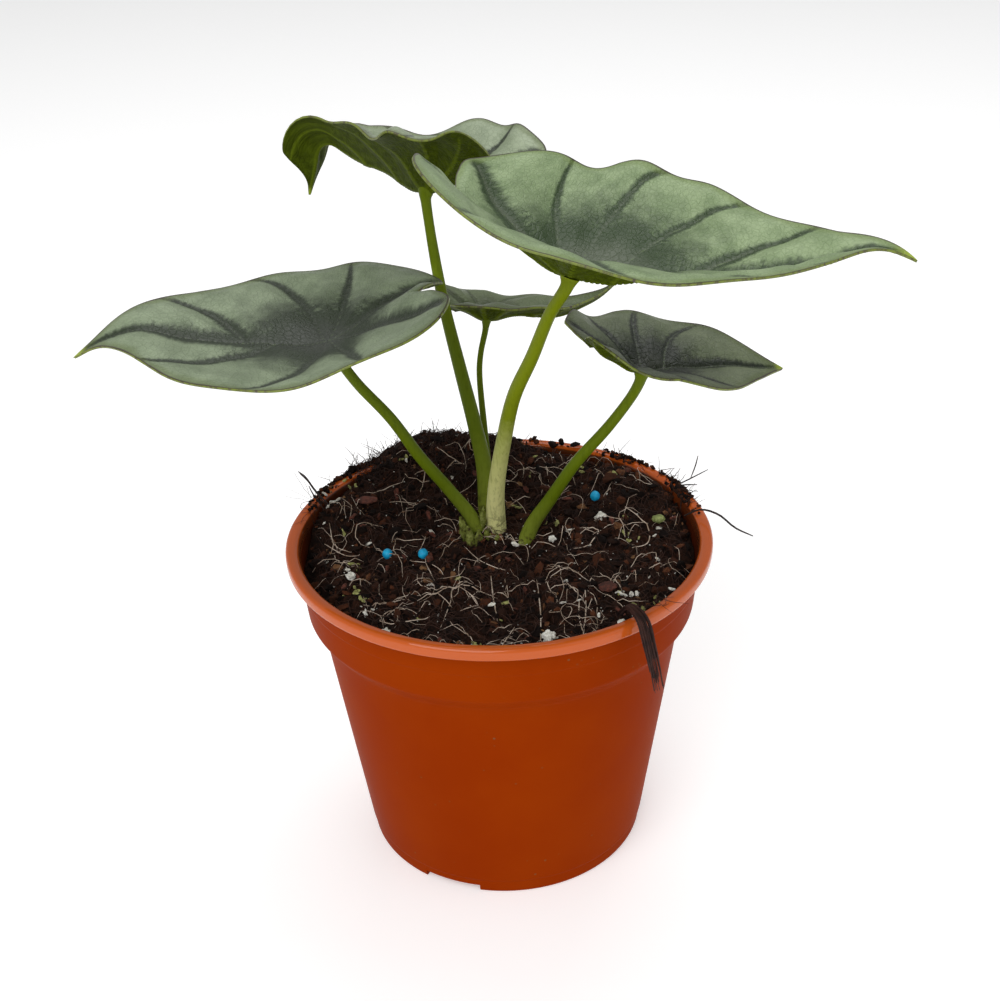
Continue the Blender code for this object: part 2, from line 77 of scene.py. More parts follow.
class Value:
    """A number that varies over a surface: one socket, with the arithmetic that adds Math nodes."""

    def __init__(self, paint: "Paint", socket: bpy.types.NodeSocket) -> None:
        """Wraps a socket of a paint's node tree."""
        self.paint = paint
        self.socket = socket

    def _math(self, operation: str, *inputs: Any) -> "Value":
        """Adds a Math node, whose inputs are numbers or Values, and returns its result."""
        return self.paint.node("ShaderNodeMath", {"operation": operation}, dict(enumerate(inputs)))

    def __add__(self, other: Any) -> "Value":
        """Sum."""
        return self._math("ADD", self, other)

    __radd__ = __add__

    def __sub__(self, other: Any) -> "Value":
        """Difference."""
        return self._math("SUBTRACT", self, other)

    def __rsub__(self, other: Any) -> "Value":
        """Difference with the value on the right."""
        return self._math("SUBTRACT", other, self)

    def __mul__(self, other: Any) -> "Value":
        """Product."""
        return self._math("MULTIPLY", self, other)

    __rmul__ = __mul__

    def between(self, low: float, high: float) -> "Value":
        """0 below one value, 1 above the other, and a smooth step in between."""
        inputs = {"Value": self, "From Min": low, "From Max": high}
        return self.paint.node("ShaderNodeMapRange", {"interpolation_type": "SMOOTHSTEP"}, inputs)


class Paint:
    """One procedural material."""

    def __init__(self, name: str, colour: Colour = (0.5, 0.5, 0.5), roughness: float = 0.5,
                 **sockets: Any) -> None:
        """Starts a material.

        Args:
            name: its name.
            colour: base colour, linear.
            roughness: base roughness.
            sockets: other Principled sockets, by name with _ for each space.
        """
        self.material = bpy.data.materials.new(name)
        self.material.use_nodes = True
        self.tree = self.material.node_tree
        self.shader = self.tree.nodes["Principled BSDF"]
        self.shader.inputs["Base Color"].default_value = (*colour, 1.0)
        self.shader.inputs["Roughness"].default_value = roughness
        for key, value in sockets.items():
            self.shader.inputs[key.replace("_", " ")].default_value = value

    def node(self, kind: str, settings: dict[str, Any], inputs: dict[Any, Any],
             output: Any = 0) -> Value:
        """Adds any node.

        Args:
            kind: the node's type.
            settings: its properties, set first; "stops" are a ramp's (place, colour) pairs.
            inputs: values or links of its sockets, by name or number.
            output: the socket that is returned.

        Returns:
            One output of the node.
        """
        made = self.tree.nodes.new(kind)
        for key, value in settings.items():
            if key == "stops":
                self._set_stops(made.color_ramp.elements, value)
            else:
                setattr(made, key, value)
        for key, value in inputs.items():
            if isinstance(value, Value):
                self.tree.links.new(value.socket, made.inputs[key])
            elif isinstance(value, tuple) and made.inputs[key].type == "RGBA":
                made.inputs[key].default_value = (*value, 1.0)
            else:
                made.inputs[key].default_value = value
        return Value(self, made.outputs[output])

    @staticmethod
    def _set_stops(elements: Any, stops: Sequence[tuple[float, Colour]]) -> None:
        """Fills a colour ramp."""
        while len(elements) < len(stops):
            elements.new(1.0)
        for element, (place, colour) in zip(elements, stops):
            element.position = place
            element.color = (*colour, 1.0)

    def attribute(self, name: str, output: str = "Fac") -> Value:
        """A value stored on the mesh."""
        return self.node("ShaderNodeAttribute", {"attribute_name": name}, {}, output)

    def place(self) -> Value:
        """The surface's own place, in metres."""
        return self.node("ShaderNodeTexCoord", {}, {}, "Object")

    def stretched(self, vector: Value, scale: Point) -> Value:
        """A place scaled along each axis."""
        return self.node("ShaderNodeVectorMath", {"operation": "MULTIPLY"}, {0: vector, 1: scale})

    def noise(self, vector: Value, scale: float, detail: float = 3.0, rough: float = 0.55) -> Value:
        """Cloudy noise, about 0.5 on average."""
        inputs = {"Vector": vector, "Scale": scale, "Detail": detail, "Roughness": rough}
        return self.node("ShaderNodeTexNoise", {}, inputs, "Fac")

    def cells(self, vector: Value, scale: float, feature: str = "F1") -> Value:
        """Distance to the middle of a Voronoi pattern's cells, or to their edges."""
        inputs = {"Vector": vector, "Scale": scale}
        return self.node("ShaderNodeTexVoronoi", {"feature": feature}, inputs, "Distance")

    def mix(self, share: Any, first: Any, second: Any) -> Value:
        """A colour between two, by a share."""
        inputs = {0: share, 6: first, 7: second}
        return self.node("ShaderNodeMix", {"data_type": "RGBA"}, inputs, 2)

    def ramp(self, value: Value, *stops: tuple[float, Colour]) -> Value:
        """A colour picked along a ramp."""
        return self.node("ShaderNodeValToRGB", {"stops": stops}, {"Fac": value}, "Color")

    def height(self) -> Value:
        """The surface's own height, in metres."""
        return self.node("ShaderNodeSeparateXYZ", {}, {0: self.place()}, "Z")

    def feed(self, socket: str, value: Value) -> None:
        """Links a value to one of the shader's sockets."""
        self.tree.links.new(value.socket, self.shader.inputs[socket])

    def bump(self, height: Value, depth: float, strength: float = 1.0) -> None:
        """Feeds the normal from a height of 0 to 1, as deep as a length in millimetres."""
        inputs = {"Height": height, "Distance": depth * MM, "Strength": strength}
        self.feed("Normal", self.node("ShaderNodeBump", {}, inputs))


# --------------------------------------------------------------------------------------- geometry


def smooth_route(points: Sequence[Point], count: int) -> np.ndarray:
    """Follows a Catmull-Rom curve.

    Args:
        points: the points that it passes through.
        count: how many points are read from it.

    Returns:
        The points along the curve.
    """
    given = np.array(points, float)
    ends = np.vstack([2 * given[0] - given[1], given, 2 * given[-1] - given[-2]])
    place = np.linspace(0, len(given) - 1, count)
    first = np.minimum(place.astype(int), len(given) - 2)
    share = (place - first)[:, None]
    a, b, c, d = (ends[first + step] for step in range(4))
    return 0.5 * (2 * b + (c - a) * share + (2 * a - 5 * b + 4 * c - d) * share**2
                  + (3 * b - a - 3 * c + d) * share**3)


def finished(name: str, mesh: bpy.types.Mesh, paints: Sequence[Paint], nodes: Sequence[str],
             crease: float = 40.0) -> bpy.types.Object:
    """Puts a mesh in the scene as a piece of the plant.

    Args:
        name: the piece's name.
        mesh: its mesh, in metres.
        paints: its materials in the order of its faces' material numbers.
        nodes: the frame's nodes that it stands for.
        crease: edges sharper than this stay sharp.

    Returns:
        The piece.
    """
    mesh.shade_smooth()
    mesh.set_sharp_from_angle(angle=math.radians(crease))
    mesh.materials.clear()
    for paint in paints:
        mesh.materials.append(paint.material)
    piece = bpy.data.objects.new(name, mesh)
    bpy.context.scene.collection.objects.link(piece)
    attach(piece, Body.ROOT.value)
    if nodes:
        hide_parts(*nodes)
    LOG.info("%s: %d faces", name, len(mesh.polygons))
    return piece


def to_mesh(name: str, shape: bmesh.types.BMesh) -> bpy.types.Mesh:
    """Turns a bmesh in millimetres into a mesh in metres, and frees it."""
    bmesh.ops.scale(shape, vec=(MM, MM, MM), verts=shape.verts)
    mesh = bpy.data.meshes.new(name)
    shape.to_mesh(mesh)
    shape.free()
    return mesh


def turned(profile: Sequence[tuple[float, float]], steps: int) -> bmesh.types.BMesh:
    """Spins a profile that starts and ends on the axis.

    Args:
        profile: (radius, height) pairs.
        steps: faces round the axis.

    Returns:
        The closed solid of revolution.
    """
    shape = bmesh.new()
    points = [shape.verts.new((radius, 0, height)) for radius, height in profile]
    edges = [shape.edges.new(pair) for pair in zip(points, points[1:])]
    bmesh.ops.spin(shape, geom=points + edges, cent=(0, 0, 0), axis=(0, 0, 1), dvec=(0, 0, 0),
                   angle=math.tau, steps=steps, use_merge=True)
    bmesh.ops.remove_doubles(shape, verts=shape.verts, dist=0.001)
    bmesh.ops.recalc_face_normals(shape, faces=shape.faces)
    return shape


def rounded(corner: tuple[float, float], before: tuple[float, float], after: tuple[float, float],
            radius: float, steps: int = 4) -> list[tuple[float, float]]:
    """Rounds a corner of a profile.

    Args:
        corner: the sharp corner.
        before: the profile's point before it.
        after: the profile's point after it.
        radius: how far from the corner the rounding starts.
        steps: faces along the rounding.

    Returns:
        The points of the rounding.
    """
    middle = Vector(corner)
    start, end = (middle + way.normalized() * min(radius, way.length * ROUNDING_ROOM)
                  for way in (Vector(before) - middle, Vector(after) - middle))
    shares = (step / steps for step in range(steps + 1))
    return [tuple(start * (1 - share) ** 2 + middle * 2 * share * (1 - share) + end * share**2)
            for share in shares]


def rounded_profile(corners: Sequence[tuple[float, float, float]]) -> list[tuple[float, float]]:
    """A profile whose inner corners are rounded, from (radius, height, rounding) triples."""
    points = [corners[0][:2]]
    for before, corner, after in zip(corners, corners[1:], corners[2:]):
        if corner[2]:
            points += rounded(corner[:2], before[:2], after[:2], corner[2])
        else:
            points.append(corner[:2])
    return points + [corners[-1][:2]]


@dataclass(frozen=True)
class Strand:
    """The middle line of a fibre, root or stalk, and its radius at each point."""

    points: Sequence[Sequence[float]]
    radii: Sequence[float]
    finish: int = 0


def tapered(points: Sequence[Sequence[float]], radius: float, finish: int = 0) -> Strand:
    """A strand that thins towards both ends."""
    last = len(points) - 1
    swells = (math.sin(math.pi * min(1.0, (i + 0.6) / (last + 0.9))) ** 0.6 for i in range(len(points)))
    return Strand(points, [radius * (STRAND_TIP + (1 - STRAND_TIP) * swell) for swell in swells], finish)


def strands_mesh(name: str, strands: Sequence[Strand], roundness: int) -> bpy.types.Mesh:
    """Makes round strands with closed ends.

    Args:
        name: the mesh's name.
        strands: the strands, in millimetres.
        roundness: the bevel resolution; a strand has 4 + 2 times this many sides.

    Returns:
        One mesh of all the strands, in metres.
    """
    data = bpy.data.curves.new(name, "CURVE")
    data.dimensions = "3D"
    data.bevel_depth = MM
    data.bevel_resolution = roundness
    data.use_fill_caps = True
    for _ in range(max(strand.finish for strand in strands) + 1):
        data.materials.append(None)
    for strand in strands:
        line = data.splines.new("POLY")
        line.material_index = strand.finish
        line.points.add(len(strand.points) - 1)
        for point, place, radius in zip(line.points, strand.points, strand.radii):
            point.co = (*(value * MM for value in place), 1.0)
            point.radius = radius
    guide = bpy.data.objects.new(name + "_guide", data)
    bpy.context.scene.collection.objects.link(guide)
    graph = bpy.context.evaluated_depsgraph_get()
    mesh = bpy.data.meshes.new_from_object(guide.evaluated_get(graph))
    bpy.data.objects.remove(guide)
    bpy.data.curves.remove(data)
    shape = bmesh.new()
    shape.from_mesh(mesh)
    bmesh.ops.remove_doubles(shape, verts=shape.verts, dist=1e-6)
    shape.to_mesh(mesh)
    shape.free()
    return mesh


# ------------------------------------------------------------------------------------------ blades


class Half(Enum):
    """The two halves of a blade, by the sign of their side."""

    RIGHT = -1
    LEFT = 1


@dataclass(frozen=True)
class BladeFinish:
    """Colours of one blade, linear, and how its surface shines."""

    silver: Colour = (0.17, 0.215, 0.13)
    pale: Colour = (0.27, 0.33, 0.21)
    dark: Colour = (0.025, 0.036, 0.018)
    centre: Colour = (0.045, 0.052, 0.04)
    line: Colour = (0.09, 0.12, 0.06)
    border: Colour = (0.085, 0.115, 0.02)
    rim: Colour = (0.16, 0.2, 0.02)
    hem: Colour = (0.04, 0.02, 0.022)
    under: Colour = (0.036, 0.05, 0.002)
    under_vein: Colour = (0.1, 0.135, 0.006)
    tip: Colour = (0.3, 0.38, 0.04)
    roughness: float = 0.42

    def top(self, name: str) -> Paint:
        """The silvery upper side: dark feathered zones along the veins, and a purplish hem."""
        paint = Paint(name, roughness=self.roughness, Specular_IOR_Level=0.3)
        flat = paint.attribute("flat", "Vector")
        streak = paint.attribute("streak", "Vector")
        dark, edge = paint.attribute("dark"), paint.attribute("edge")
        feather = paint.noise(paint.stretched(streak, (0.85, 0.1, 1.0)), 1.0, 4.0, 0.7)
        blotch = paint.noise(flat, 0.22, 3.0, 0.5)
        shadow = (dark + (feather - 0.5) * 1.1 + (blotch - 0.5) * 0.5).between(0.05, 0.8)
        mottle = paint.noise(flat, 2.2, 5.0, 0.75)
        cloud = paint.noise(flat, 0.12, 2.0, 0.5)
        silver = paint.mix((mottle * 0.5 + cloud * 0.5).between(0.36, 0.64), self.silver, self.pale)
        deep = paint.mix((dark + (mottle - 0.5) * 0.5).between(0.85, 1.2), self.dark, self.centre)
        skin = paint.mix(shadow, silver, deep)
        net = paint.cells(flat, 0.62, "DISTANCE_TO_EDGE").between(0.0, 0.14)
        skin = paint.mix((1 - net) * 0.12, skin, self.dark)
        vein = paint.attribute("vein")
        skin = paint.mix((1 - vein.between(0.1, 0.5)) * 0.75, skin, self.line)
        skin = paint.mix((1 - (edge + (blotch - 0.5) * 3.0).between(0.8, 3.2)) * 0.5, skin, self.border)
        skin = paint.mix((1 - (edge + (blotch - 0.5) * 0.5).between(0.15, 0.75)) * 0.85, skin, self.hem)
        skin = paint.mix(paint.attribute("tip").between(0.25, 0.8), skin, self.tip)
        paint.feed("Base Color", skin)
        grain = paint.noise(flat, 6.0, 3.0, 0.6)
        paint.feed("Roughness", self.roughness - 0.1 * shadow + (grain - 0.5) * 0.25)
        paint.bump(net * 0.5 + mottle * 0.45 + grain * 0.25, 0.16, 0.8)
        return paint

    def underside(self, name: str) -> Paint:
        """The olive lower side with its raised, paler veins."""
        paint = Paint(name, roughness=0.55, Specular_IOR_Level=0.04)
        flat = paint.attribute("flat", "Vector")
        cloud = paint.noise(flat, 0.5, 4.0, 0.6)
        vein = 1 - paint.attribute("vein").between(0.3, 1.0)
        skin = paint.mix(cloud.between(0.35, 0.7), self.under, tuple(1.7 * part for part in self.under))
        skin = paint.mix(vein * 0.8, skin, self.under_vein)
        skin = paint.mix(paint.attribute("tip").between(0.3, 0.9), skin, self.tip)
        paint.feed("Base Color", skin)
        paint.bump(paint.cells(flat, 0.7, "DISTANCE_TO_EDGE").between(0.0, 0.2) + cloud * 0.4, 0.12, 0.7)
        return paint

    def margin(self, name: str) -> Paint:
        """The cut-looking edge between the two sides."""
        paint = Paint(name, roughness=0.45)
        flat = paint.attribute("flat", "Vector")
        cloud = paint.noise(flat, 0.8, 3.0)
        paint.feed("Base Color", paint.mix(cloud.between(0.4, 0.75), self.rim, self.hem))
        return paint


@dataclass(frozen=True)
class Vein:
    """How a kind of side vein bends, and how its dark zone and its groove fade along it."""

    bow: tuple[float, float]  # where it bends, as shares of its way along and across
    wide: float  # its dark zone's width at the root, as a share of the blade's half width
    narrow: float  # the same at its end
    depth: float  # of its groove at the root


LATERAL_VEIN = Vein((0.25, 0.97), 0.14, 0.025, 0.5)
BASAL_VEIN = Vein((0.75, 0.55), 0.14, 0.025, 0.45)
LOBE_VEIN = Vein((0.5, 0.3), 0.24, 0.08, 0.55)


@dataclass(frozen=True)
class Blade:
    """One leaf blade, in its own frame: +X towards the tip, +Z up, the petiole's joint at 0."""

    side: str
    joint: Point
    heading: float  # of the tip, turned from +X
    pitch: float  # lifts the tip
    roll: float
    tip: float  # from the joint to the tip
    lobe: float  # from the joint back to the ends of the two lobes
    notch: float  # from the joint back to where the lobes part
    half_width: float
    cup: tuple[float, float]  # rise of the right and left halves beside the midrib
    curl: tuple[float, float]  # how far the right and left margins roll down
    arch: tuple[float, float]  # even bend of the midrib, behind and before the joint
    twist: tuple[float, float]  # turn about the midrib, behind and before the joint
    droop: float  # bend of the tip
    droop_span: tuple[float, float]  # where it starts and ends, as shares of the way to the tip
    lobe_lift: tuple[float, float]  # rise of the right and left lobes' ends
    wave: tuple[float, float]  # height of the right and left margins' waves
    wave_phase: tuple[float, float]
    waves: float  # from the lobes to the tip
    wave_stretch: float = 0.0  # makes the waves closer towards the tip
    lobe_width: float = 0.5  # half width at the ends of the lobes, as a share
    shoulder: float = 1.0  # widens the blade before the joint
    taper: float = 1.0  # widens it towards the tip
    tip_width: float = 0.1
    dimple: float = 2.0  # depth of the dip over the joint
    finish: BladeFinish = BladeFinish()
    laterals: tuple[tuple[tuple[float, float], ...], ...] = (  # where each leaves the midrib and ends
        ((0.02, 0.3), (0.18, 0.58), (0.42, 0.8)),) * 2
    basal: tuple[float, float] = (-0.4, -0.4)  # where the vein behind the joint ends, on each side
    centre_reach: float = 0.5  # of the dark centre, as a share of the half width
    quilting: float = 1.3  # how high the blade swells between its veins
    swell_reach: float = 6.0  # how far from a vein the swelling is full
    buckle: float = 0.35  # height of its slow unevenness
    groove: float = 0.75  # half width of a vein's groove
    groove_depth: float = 0.6  # where several grooves meet
    calm_joint: float = 3.0  # radius about the joint where the relief fades out
    calm_margin: float = 5.0  # width of the margin where it fades out
    pale_tip: float = 0.9  # where the tip's own colour starts, as a share of the way to the tip
    thickness: float = 0.6
    rows: int = 230
    ribs: int = 92

    def outline(self) -> tuple[Point, ...]:
        """Points of the right margin from notch to tip: (along, across, foot of its rib)."""
        tip, lobe, notch, wide = self.tip, self.lobe, self.notch, self.half_width
        full = (self.shoulder + self.taper) / 2
        return (
            (-notch, 0, -notch),
            (-0.70 * lobe - 0.30 * notch, 0.17 * wide, -0.80 * notch),
            (-lobe, self.lobe_width * wide, -0.45 * notch),
            (-0.80 * lobe, 0.82 * wide, -0.15 * notch),
            (-0.25 * lobe, wide, 0.05 * tip),
            (0.22 * tip, 0.93 * wide * self.shoulder, 0.18 * tip),
            (0.50 * tip, 0.66 * wide * full, 0.40 * tip),
            (0.74 * tip, 0.32 * wide * self.taper, 0.64 * tip),
            (0.89 * tip, self.tip_width * wide, 0.84 * tip),
            (tip, 0, tip),
        )

    def frame(self) -> Matrix:
        """The matrix that stands the blade on its petiole."""
        turn = Matrix.Rotation(math.radians(self.heading), 4, "Z")
        turn = turn @ Matrix.Rotation(math.radians(-self.pitch), 4, "Y")
        turn = turn @ Matrix.Rotation(math.radians(self.roll), 4, "X")
        return Matrix.Translation(self.joint) @ turn

    def _by_end(self, angles: tuple[float, float], x: np.ndarray) -> np.ndarray:
        """An angle that grows from 0 at the joint to one value at the lobes, another at the tip."""
        behind, before = np.radians(angles)
        return behind * np.clip(x, None, 0) / self.lobe + before * np.clip(x, 0, None) / self.tip

    @staticmethod
    def _running_sum(slopes: np.ndarray, step: float) -> tuple[np.ndarray, np.ndarray]:
        """Distance covered by a line whose slope angles are given, along and up."""
        middle = (slopes[1:] + slopes[:-1]) / 2
        along = np.concatenate([[0], np.cumsum(np.cos(middle) * step)])
        up = np.concatenate([[0], np.cumsum(np.sin(middle) * step)])
        return along, up

    def bent(self, x: np.ndarray, y: np.ndarray, relief: np.ndarray) -> np.ndarray:
        """Bends the flat blade to its form.

        Args:
            x: places along the midrib.
            y: places across it.
            relief: height of the surface's own hills and grooves.

        Returns:
            The places once the blade is cupped, arched, drooped, waved and twisted.
        """
        stations = np.linspace(-1.1 * self.lobe, 1.02 * self.tip, 600)
        start, end = self.droop_span
        share = np.clip((stations / self.tip - start) / (end - start), 0, 1)
        slope = -np.radians(self.droop) * share**2 * (3 - 2 * share)
        slope -= self._by_end(self.arch, stations)
        along, up = self._running_sum(slope, stations[1] - stations[0])
        along -= np.interp(0, stations, along)
        up -= np.interp(0, stations, up)
        tilt = np.interp(x, stations, slope)

        out = np.abs(y) / self.half_width
        across, rise = np.zeros_like(out), np.zeros_like(out)
        ring = np.linspace(0, 1.3, 80)
        for index, half in enumerate(Half):
            cup, curl = np.radians(self.cup[index]), np.radians(self.curl[index])
            reach, lift = self._running_sum(cup - (cup + curl) * ring**1.6, ring[1])
            run = x / (self.tip + self.lobe)
            phase = self.waves * run + self.wave_stretch * run**2 + self.wave_phase[index]
            height = np.interp(out, ring, lift) * self.half_width
            height += self.wave[index] * out**1.5 * np.sin(math.tau * phase)
            back = np.clip(-x / self.lobe, 0, None)
            height += self.lobe_lift[index] * back**2 * np.clip(out / 0.4, 0, 1)
            mine = y * half.value > 0
            across = np.where(mine, half.value * np.interp(out, ring, reach) * self.half_width, across)
            rise = np.where(mine, height, rise)
        rise += self.dimple * (1 - np.exp(-(x**2 + y**2) / (0.3 * self.half_width) ** 2)) + relief

        turn = self._by_end(self.twist, x)
        lifted = np.cos(tilt) * rise
        return np.stack([
            np.interp(x, stations, along) - np.sin(tilt) * rise,
            across * np.cos(turn) - lifted * np.sin(turn),
            np.interp(x, stations, up) + across * np.sin(turn) + lifted * np.cos(turn),
        ], axis=-1)

    def veins(self) -> list[np.ndarray]:
        """The main veins on the flat blade.

        Returns:
            One array a vein, with rows of (x, y, dark zone's width, groove's depth).
        """
        margin = smooth_route(self.outline(), 200)
        wide, tip = self.half_width, self.tip
        ahead = np.linspace(0, 1, 60)[:, None]
        midrib = np.hstack([ahead * tip * 0.97, 0 * ahead, wide * (0.03 + 0.27 * (1 - ahead) ** 1.2),
                            0.6 - 0.4 * ahead])
        found = [midrib]
        outer = margin[70:]
        for index, half in enumerate(Half):
            for start, end in self.laterals[index]:
                root = np.array([start * tip, 0.0])
                goal = np.array([end * tip, np.interp(end * tip, *outer.T[:2]) * half.value])
                found.append(self._vein(root, goal, LATERAL_VEIN))
            goal = np.array([self.basal[index] * self.lobe, 0.0])
            goal[1] = np.interp(goal[0], *outer.T[:2]) * half.value
            found.append(self._vein(np.zeros(2), goal, BASAL_VEIN))
            lobe_end = np.array([-0.93 * self.lobe, 0.93 * self.lobe_width * wide * half.value])
            found.append(self._vein(np.zeros(2), lobe_end, LOBE_VEIN))
        return found

    def _vein(self, root: np.ndarray, goal: np.ndarray, form: Vein) -> np.ndarray:
        """One side vein, which bends on its way from its root to its goal near the margin.

        Args:
            root: where it starts.
            goal: where it ends.
            form: the kind of vein.

        Returns:
            Rows of (x, y, dark zone's width, groove's depth).
        """
        share = np.linspace(0, 1, 36)[:, None]
        bend = root + (goal - root) * form.bow
        line = root * (1 - share) ** 2 + bend * 2 * share * (1 - share) + goal * share**2
        zone = self.half_width * (form.wide + (form.narrow - form.wide) * share**0.6)
        return np.hstack([line, zone, form.depth * (1 - 0.8 * share)])

    def surface(self, x: np.ndarray, y: np.ndarray) -> dict[str, np.ndarray]:
        """What each place of the flat blade carries.

        Args:
            x: places along the midrib.
            y: places across it.

        Returns:
            Arrays by name: dark zone, distance to a vein, streak coordinates and relief.
        """
        dark, near = np.zeros_like(x), np.full_like(x, 99.0)
        relief = np.zeros_like(x)
        streak = np.zeros((len(x), 3))
        travelled = 0.0
        for number, vein in enumerate(self.veins()):
            steps = np.hypot(*(vein[1:, :2] - vein[:-1, :2]).T)
            gap = np.hypot(x[:, None] - vein[:, 0], y[:, None] - vein[:, 1])
            closest = gap.argmin(axis=1)
            gap = gap[np.arange(len(x)), closest]
            run = np.concatenate([[0], np.cumsum(steps)])
            here = np.interp(closest, np.arange(len(vein)), run)
            zone = 1.15 - gap / vein[closest, 2]
            better = zone > dark
            streak[better] = np.stack([here + travelled, gap, np.full_like(gap, number)], axis=1)[better]
            dark = np.maximum(dark, zone)
            near = np.minimum(near, gap / (0.4 + 0.6 * vein[closest, 3] / 0.5))
            relief -= vein[closest, 3] * np.exp(-(gap / self.groove) ** 2)
            travelled += 400.0
        relief = np.maximum(relief, -self.groove_depth)
        relief += self.quilting * (1 - np.exp(-(near / self.swell_reach) ** 2))
        relief += self.buckle * np.sin(0.31 * x + 0.4 * self.tip) * np.sin(0.27 * y + 0.05 * x + self.lobe)
        relief *= 1 - np.exp(-(np.hypot(x, y) / self.calm_joint) ** 2)
        reach = np.hypot(x - 0.06 * self.tip, y) / (self.centre_reach * self.half_width)
        centre = 1.25 * np.exp(-reach**2)
        return {"dark": np.maximum(dark, centre), "vein": near, "streak": streak, "relief": relief}

    def build(self) -> bpy.types.Object:
        """Makes the blade: a sheet between its margins, bent to its form and thickened downwards."""
        shape = bmesh.new()
        bmesh.ops.create_grid(shape, x_segments=self.rows, y_segments=self.ribs, size=0.5)
        grid = np.array([point.co for point in shape.verts])
        margin = smooth_route(self.outline(), 800)
        row = (grid[:, 0] + 0.5) * (len(margin) - 1)
        edge_x, edge_y, foot = (np.interp(row, np.arange(len(margin)), margin[:, k]) for k in range(3))
        side = grid[:, 1] * 2
        x, y = foot + (edge_x - foot) * np.abs(side), edge_y * side
        carried = self.surface(x, y)
        length = np.hypot(edge_x - foot, edge_y)
        edge = (1 - np.abs(side)) * np.maximum(length, 0.5)
        calm = np.clip(edge / self.calm_margin, 0, 1)
        place = self.frame()
        tip = np.clip((x / self.tip - self.pale_tip) / (1 - self.pale_tip), 0, 1)
        carried |= {"edge": edge, "tip": tip, "flat": np.stack([x, y, np.zeros_like(x)], axis=-1)}
        layers = {name: shape.verts.layers.float.new(name) for name in ("dark", "vein", "edge", "tip")}
        layers |= {name: shape.verts.layers.float_vector.new(name) for name in ("flat", "streak")}
        where = self.bent(x, y, carried["relief"] * calm)
        for index, point in enumerate(shape.verts):
            point.co = place @ Vector(where[index])
            for layer_name, layer in layers.items():
                point[layer] = carried[layer_name][index]
        bmesh.ops.remove_doubles(shape, verts=shape.verts, dist=0.01)
        name = f"leaf_{self.side}"
        mesh = to_mesh(name, shape)
        paints = [self.finish.top(name + "_top"), self.finish.underside(name + "_under"),
                  self.finish.margin(name + "_margin")]
        leaf = finished(name, mesh, paints, [f"leaf_blade_{self.side}"], crease=180.0)
        shell = leaf.modifiers.new("thickness", "SOLIDIFY")
        shell.thickness = self.thickness * MM
        shell.offset = -1
        shell.material_offset = 1
        shell.material_offset_rim = 2
        return leaf


# ---------------------------------------------------------------------------------------- petioles


@dataclass(frozen=True)
class PetioleFinish:
    """Colours of a stalk from its foot to its top, linear."""

    foot: Colour = (0.2, 0.24, 0.03)
    middle: Colour = (0.1, 0.14, 0.004)
    top: Colour = (0.12, 0.165, 0.005)
    pale_share: tuple[float, float] = (0.02, 0.3)  # heights where the foot's colour ends and green starts
    dirt: Colour = (0.03, 0.016, 0.008)

    def paint(self, name: str, low: float, high: float) -> Paint:
        """Fine streaks along a green stalk that pales towards its foot.

        Args:
            name: the material's name.
            low: height of the foot.
            high: height of the top.

        Returns:
            The material.
        """
        paint = Paint(name, roughness=0.42, Specular_IOR_Level=0.07)
        place = paint.place()
        inputs = {"Value": paint.height(), "From Min": low * MM, "From Max": high * MM}
        share = paint.node("ShaderNodeMapRange", {}, inputs)
        streak = paint.noise(paint.stretched(place, (1.0, 1.0, 0.07)), 1500.0, 3.0)
        speck = paint.noise(place, 500.0, 4.0, 0.7)
        pale, green = self.pale_share
        skin = paint.ramp(share + (speck - 0.5) * 0.12, (pale, self.foot), (green, self.middle),
                          (1.0, self.top))
        shade = tuple(0.55 * part for part in self.middle)
        skin = paint.mix(streak.between(0.45, 0.8) * 0.4, skin, shade)
        grime = speck.between(0.5, 0.62) * (1 - share.between(0.0, 0.14))
        skin = paint.mix(grime * 0.85, skin, self.dirt)
        paint.feed("Base Color", skin)
        paint.bump(streak * 0.8 + speck * 0.3, 0.1, 0.6)
        return paint


